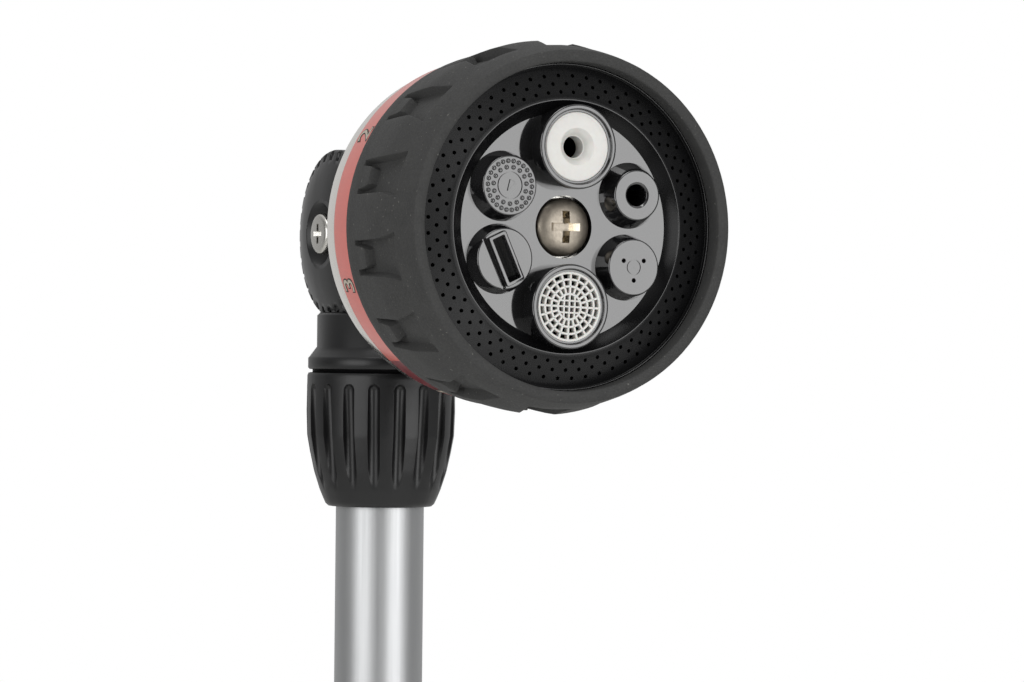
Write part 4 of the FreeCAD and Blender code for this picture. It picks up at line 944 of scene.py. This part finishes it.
# ---------- dial: soft and soaker cups
# Two deep cups with round rims. One holds a pale acetal disc with a funnel, and the other a pale
# grille whose bars break the water into a soft flow.


def at_nozzle(name, made, node, material=mirror_abs, crease=35):
    """A piece made about its nozzle's own axis, with X pointing out from the dial's middle."""
    place = spot(node)
    frame_there = Matrix.Translation(place.to_3d() * MM) @ Matrix.Rotation(math.atan2(place.y, place.x), 4, "Z")
    finished(name, made, HEAD @ frame_there, "dial", material, [node], crease)


cup_r, cup_bore = 9.7, 8.0
seat = face_front - 2.5
for cup_name, node in (("soft_cup_shell", "soft_cup"), ("soaker_cup_shell", "soaker_cup")):
    tip = reach(node)[1]
    cup_edge = [(cup_bore, seat), (cup_r, seat), (cup_r, face_front + 0.2), (cup_r, tip, 0.9),
                (cup_bore + 0.55, tip, 0.25), (cup_bore + 0.5, tip - 0.75, 0.2), (cup_bore, tip - 0.8)]
    at_nozzle(cup_name, lathed(eased(cup_edge), 120), node)

# Moulded acetal: pale grey, waxy, with a little light passing into its surface.
acetal, acetal_tree = new_material("moulded_acetal_grey", "#c6c4c0", 0.38, Subsurface_Weight=0.08,
                                                  Subsurface_Scale=0.001)
wax = grain(acetal_tree, 2.2)
skin_grain = grain(acetal_tree, 0.3)
tinted(acetal_tree, wax, "#bdbbb7", "#cecdc9")
roughened(acetal_tree, wax, 0.3, 0.7, 0.32, 0.45)
bump(acetal_tree, skin_grain, 0.12, 0.01)

tip = reach("soft_insert")[1]
funnel_r, funnel_hole = 3.9, 2.5
funnel = [(cup_bore - 0.05, tip - 3.0), (cup_bore - 0.05, tip, 0.35), (funnel_r + 0.35, tip, 0.15),
          (funnel_r + 0.1, tip - 0.25, 0.1), (3.3, tip - 1.0, 0.6), (funnel_hole + 0.2, tip - 2.0, 0.3),
          (funnel_hole, tip - 2.1, 0.1), (funnel_hole, tip - 5.6), (funnel_hole + 1.2, tip - 5.6)]
at_nozzle("soft_insert_disc", lathed(eased(funnel), 96), "soft_insert", acetal)

grille_tip = reach("soaker_grille")[1]
grille_floor = grille_tip - 1.6
bar = 0.5
spoke_count = 20
hub_r = 2.9
spoke = slab([Vector(corner) for corner in ((hub_r - 0.1, -bar / 2), (cup_bore - 0.4, -bar / 2),
                                           (cup_bore - 0.4, bar / 2), (hub_r - 0.1, bar / 2))],
             grille_floor, grille_tip, 0.12, 1)
grille = ringed(spoke, spoke_count, acetal)
for radius in (hub_r, 4.6, 6.2):
    joined(grille, lathed(eased([(radius - bar / 2, grille_floor), (radius - bar / 2, grille_tip, 0.12),
                                 (radius + bar / 2, grille_tip, 0.12), (radius + bar / 2, grille_floor)], 2), 72))
joined(grille, lathed(eased([(cup_bore - 0.6, grille_tip - 3.6), (cup_bore - 0.6, grille_tip, 0.15),
                             (cup_bore - 0.02, grille_tip, 0.15), (cup_bore - 0.02, grille_tip - 3.6)], 2), 96))
for offset in (-1.35, 0.0, 1.35):
    half = sqrt(hub_r ** 2 - offset ** 2)
    for quarter in (0, pi / 2):
        corners = ((-half, offset - 0.2), (half, offset - 0.2), (half, offset + 0.2), (-half, offset + 0.2))
        outline = [Matrix.Rotation(quarter, 2) @ Vector(corner) for corner in corners]
        joined(grille, slab(outline, grille_floor, grille_tip, 0.1, 1))
at_nozzle("soaker_grille_bars", grille, "soaker_grille", acetal, 30)

# ---------- dial: small nozzles
# Four black ABS bosses that stand on the face plate, each with its own pattern of openings.
nozzle_seat = face_front - 1.0


def boss(node, face_r, top_r, hole=()):
    """The tapered side and flat top of a nozzle. The hole's outline runs from its rim inwards."""
    tip = reach(node)[1]
    outline = [(face_r, nozzle_seat), (face_r, face_front, 0.2), (top_r, tip, 0.35)]
    outline += [(radius, tip - depth, *soft) for radius, depth, *soft in hole] or [(0.4, tip)]
    if hole:
        outline.append((face_r - 1.0, nozzle_seat - 3.0))
        return lathed(eased(outline), 96)
    return lathed(eased([*outline, (0.05, tip), (0.05, nozzle_seat)]), 96)


jet_r = 2.5
jet_hole = [(jet_r + 0.5, 0.0, 0.1), (jet_r, 0.35, 0.1), (jet_r, 7.0)]
at_nozzle("jet_boss", boss("jet_nozzle", 7.6, 5.7, jet_hole), "jet_nozzle")

cone_tip = reach("cone_nozzle")[1]
cone_ring_r = 3.0
cone_hole = lathed([(0.5, cone_tip - 2.5), (0.5, cone_tip - 0.2), (0.62, cone_tip + 0.3)], 16, False)
bmesh.ops.translate(cone_hole, verts=cone_hole.verts, vec=(-cone_ring_r, 0, 0))
gate_mark = lathed([(1.6, cone_tip - 0.2), (1.6, cone_tip + 0.3), (1.8, cone_tip + 0.3), (1.8, cone_tip - 0.2)], 48)
cone = carved(boss("cone_nozzle", 7.6, 6.4), ringed(cone_hole, 3, mirror_abs), gate_mark)
at_nozzle("cone_boss", cone, "cone_nozzle")

flat_tip = reach("flat_nozzle")[1]
slot_wide, slot_long, frame_wall = 3.3, 10.6, 0.75
flat_top = flat_tip - 0.9
flat_outline = [(8.0, nozzle_seat), (8.0, face_front, 0.2), (6.9, flat_top, 0.35), (0.05, flat_top),
                (0.05, nozzle_seat)]
flat_body = lathed(eased(flat_outline), 96)
frame_outline = rounded_box(slot_wide + 2 * frame_wall, slot_long + 2 * frame_wall, 0.5, 3)
frame_shape = slab(frame_outline, flat_top - 1.5, flat_tip, 0.2, 2)
slot_cut = slab(rounded_box(slot_wide, slot_long, 0.3, 3), nozzle_seat + 0.5, flat_tip + 1.0, 0.05, 1)
trench = slab(rounded_box(1.1, 12.4, 0.3, 2), flat_top - 0.7, flat_top + 1.5, 0.05, 1)
bmesh.ops.translate(trench, verts=trench.verts, vec=(slot_wide / 2 + frame_wall + 0.56, 0, 0))
flat_body = carved(flat_body, slot_cut.copy(), trench)
flat_frame = carved(frame_shape, slot_cut)
at_nozzle("flat_boss", joined(flat_body, flat_frame), "flat_nozzle")

# The mist nozzle's top has two rings of small domed outlets round a plain disc with a pointer.
mist_tip = reach("mist_nozzle")[1]
mist_top = mist_tip - 0.3
mist_outline = [(8.0, nozzle_seat), (8.0, face_front, 0.2), (6.7, mist_top, 0.3), (3.15, mist_top),
                (3.12, mist_top - 0.3), (2.93, mist_top - 0.3), (2.9, mist_top), (0.05, mist_top),
                (0.05, nozzle_seat)]
mist = lathed(eased(mist_outline), 96)
bump_r = 0.56
for ring_r, count in ((5.55, 26), (4.15, 15)):
    dome = [(bump_r * cos(turn), mist_top + 0.42 * sin(turn)) for turn in (0.0, 0.4, 0.8, 1.2)]
    outlet = lathed([(bump_r, mist_top - 0.1), *dome], 12, False)
    bmesh.ops.translate(outlet, verts=outlet.verts, vec=(ring_r, 0, 0))
    joined(mist, ringed(outlet, count, mirror_abs))
arrow = [Vector(corner) for corner in ((-0.7, -1.2), (0.7, -1.2), (0.0, 1.4))]
pointer = slab(arrow, mist_top - 0.1, mist_top + 0.3, 0.05, 1)
at_nozzle("mist_boss", joined(mist, pointer), "mist_nozzle", crease=32)

# ---------- dial: centre screw
# The large cross-headed screw that holds the dial on its spindle. Steel, barrel plated with
# nickel, so its dome is dull and grainy; its recess is painted a much brighter nickel, a painted highlight.
nickel, nickel_tree = new_material("barrel_plated_nickel", "#8b8378", 0.4, Metallic=1.0)
plate_grain = grain(nickel_tree, 0.35, detail=4.0)
patches = grain(nickel_tree, 1.8)
tinted(nickel_tree, patches, "#6f685e", "#a39b8f")
roughened(nickel_tree, plate_grain, 0.3, 0.7, 0.3, 0.55)
bump(nickel_tree, plate_grain, 0.5, 0.05)

# The recess is painted a brighter, smoother nickel than the dome, a painted highlight, mottled a little by grime.
recess_highlight_nickel, recess_highlight_tree = new_material("nickel_recess_painted_highlight", "#d6cfc0", 0.22, Metallic=1.0)
grime = grain(recess_highlight_tree, 0.8)
tinted(recess_highlight_tree, grime, "#a79d8b", "#e2dccf")
bump(recess_highlight_tree, grime, 0.2, 0.03)

screw_tip = reach("dial_screw")[1]
screw_r = 6.7
screw_head = lathed(domed_head(screw_r, screw_tip - 2.4, 2.4, 2.0, 14), 96, False)
recess_half, recess_width, recess_depth = 4.3, 1.9, 2.6
screw_head = carved(screw_head, *cross_recess(recess_half, recess_width, screw_tip, recess_depth))
floor_r = 0.134                # only the recess's floor has its middle this close to the axis
for face in screw_head.faces:
    middle = face.calc_center_median()
    off_axis = hypot(middle.x, middle.y)
    steep = abs(face.normal.z) < 0.6 and off_axis < 0.95 * recess_half
    face.material_index = 1 if steep or off_axis < floor_r else 0
head_piece = finished("dial_screw_head", screw_head, HEAD, "head", nickel, ["dial_screw"])
# The second slot is the nickel painted bright as a highlight, for the recess's faces.
head_piece.data.materials.append(recess_highlight_nickel)

# ---------- pieces inside
# What is left is hidden or nearly so: seals, springs, seats and guides. Each keeps its CAD shape
# and takes the finish of its real material.
natural, natural_tree = new_material("moulded_acetal_natural", "#dedacd", 0.4, Subsurface_Weight=0.08,
                                                     Subsurface_Scale=0.001)
natural_wax = grain(natural_tree, 2.2)
tinted(natural_tree, natural_wax, "#d8d3c4", "#e6e2d6")
bump(natural_tree, natural_wax, 0.1, 0.02)

# Turned brass: warm yellow with fine lathe marks round it.
brass, brass_tree = new_material("turned_brass", "#c9a34f", 0.28, Metallic=1.0)
lathe_marks = grain(brass_tree, 0.25, stretch=(0.1, 1, 1))
roughened(brass_tree, lathe_marks, 0.3, 0.7, 0.2, 0.4)
bump(brass_tree, lathe_marks, 0.2, 0.02)

dress(["hose_washer", "stem_o_rings", "tube_seal", "slide_o_rings", "neck_o_ring", "tilt_washer", "tilt_o_ring",
       "plate_o_ring", "outlet_seal"], nitrile)
dress(["valve_seats", "top_bush", "lock_ferrule", "valve_stems", "lock_collet", "slide_piston",
       "friction_ring"], natural)
dress(["inlet_filter", "lever_screws", "plate_screws", "outlet_spring", "detent_ball", "detent_spring",
       "dial_washer"], stainless)
dress(["flow_ball", "tilt_insert"], brass)
dress(["valve_retainer", "valve_plate", "port_plate"], satin_abs)
dress(["dial_shell"], gloss_abs)
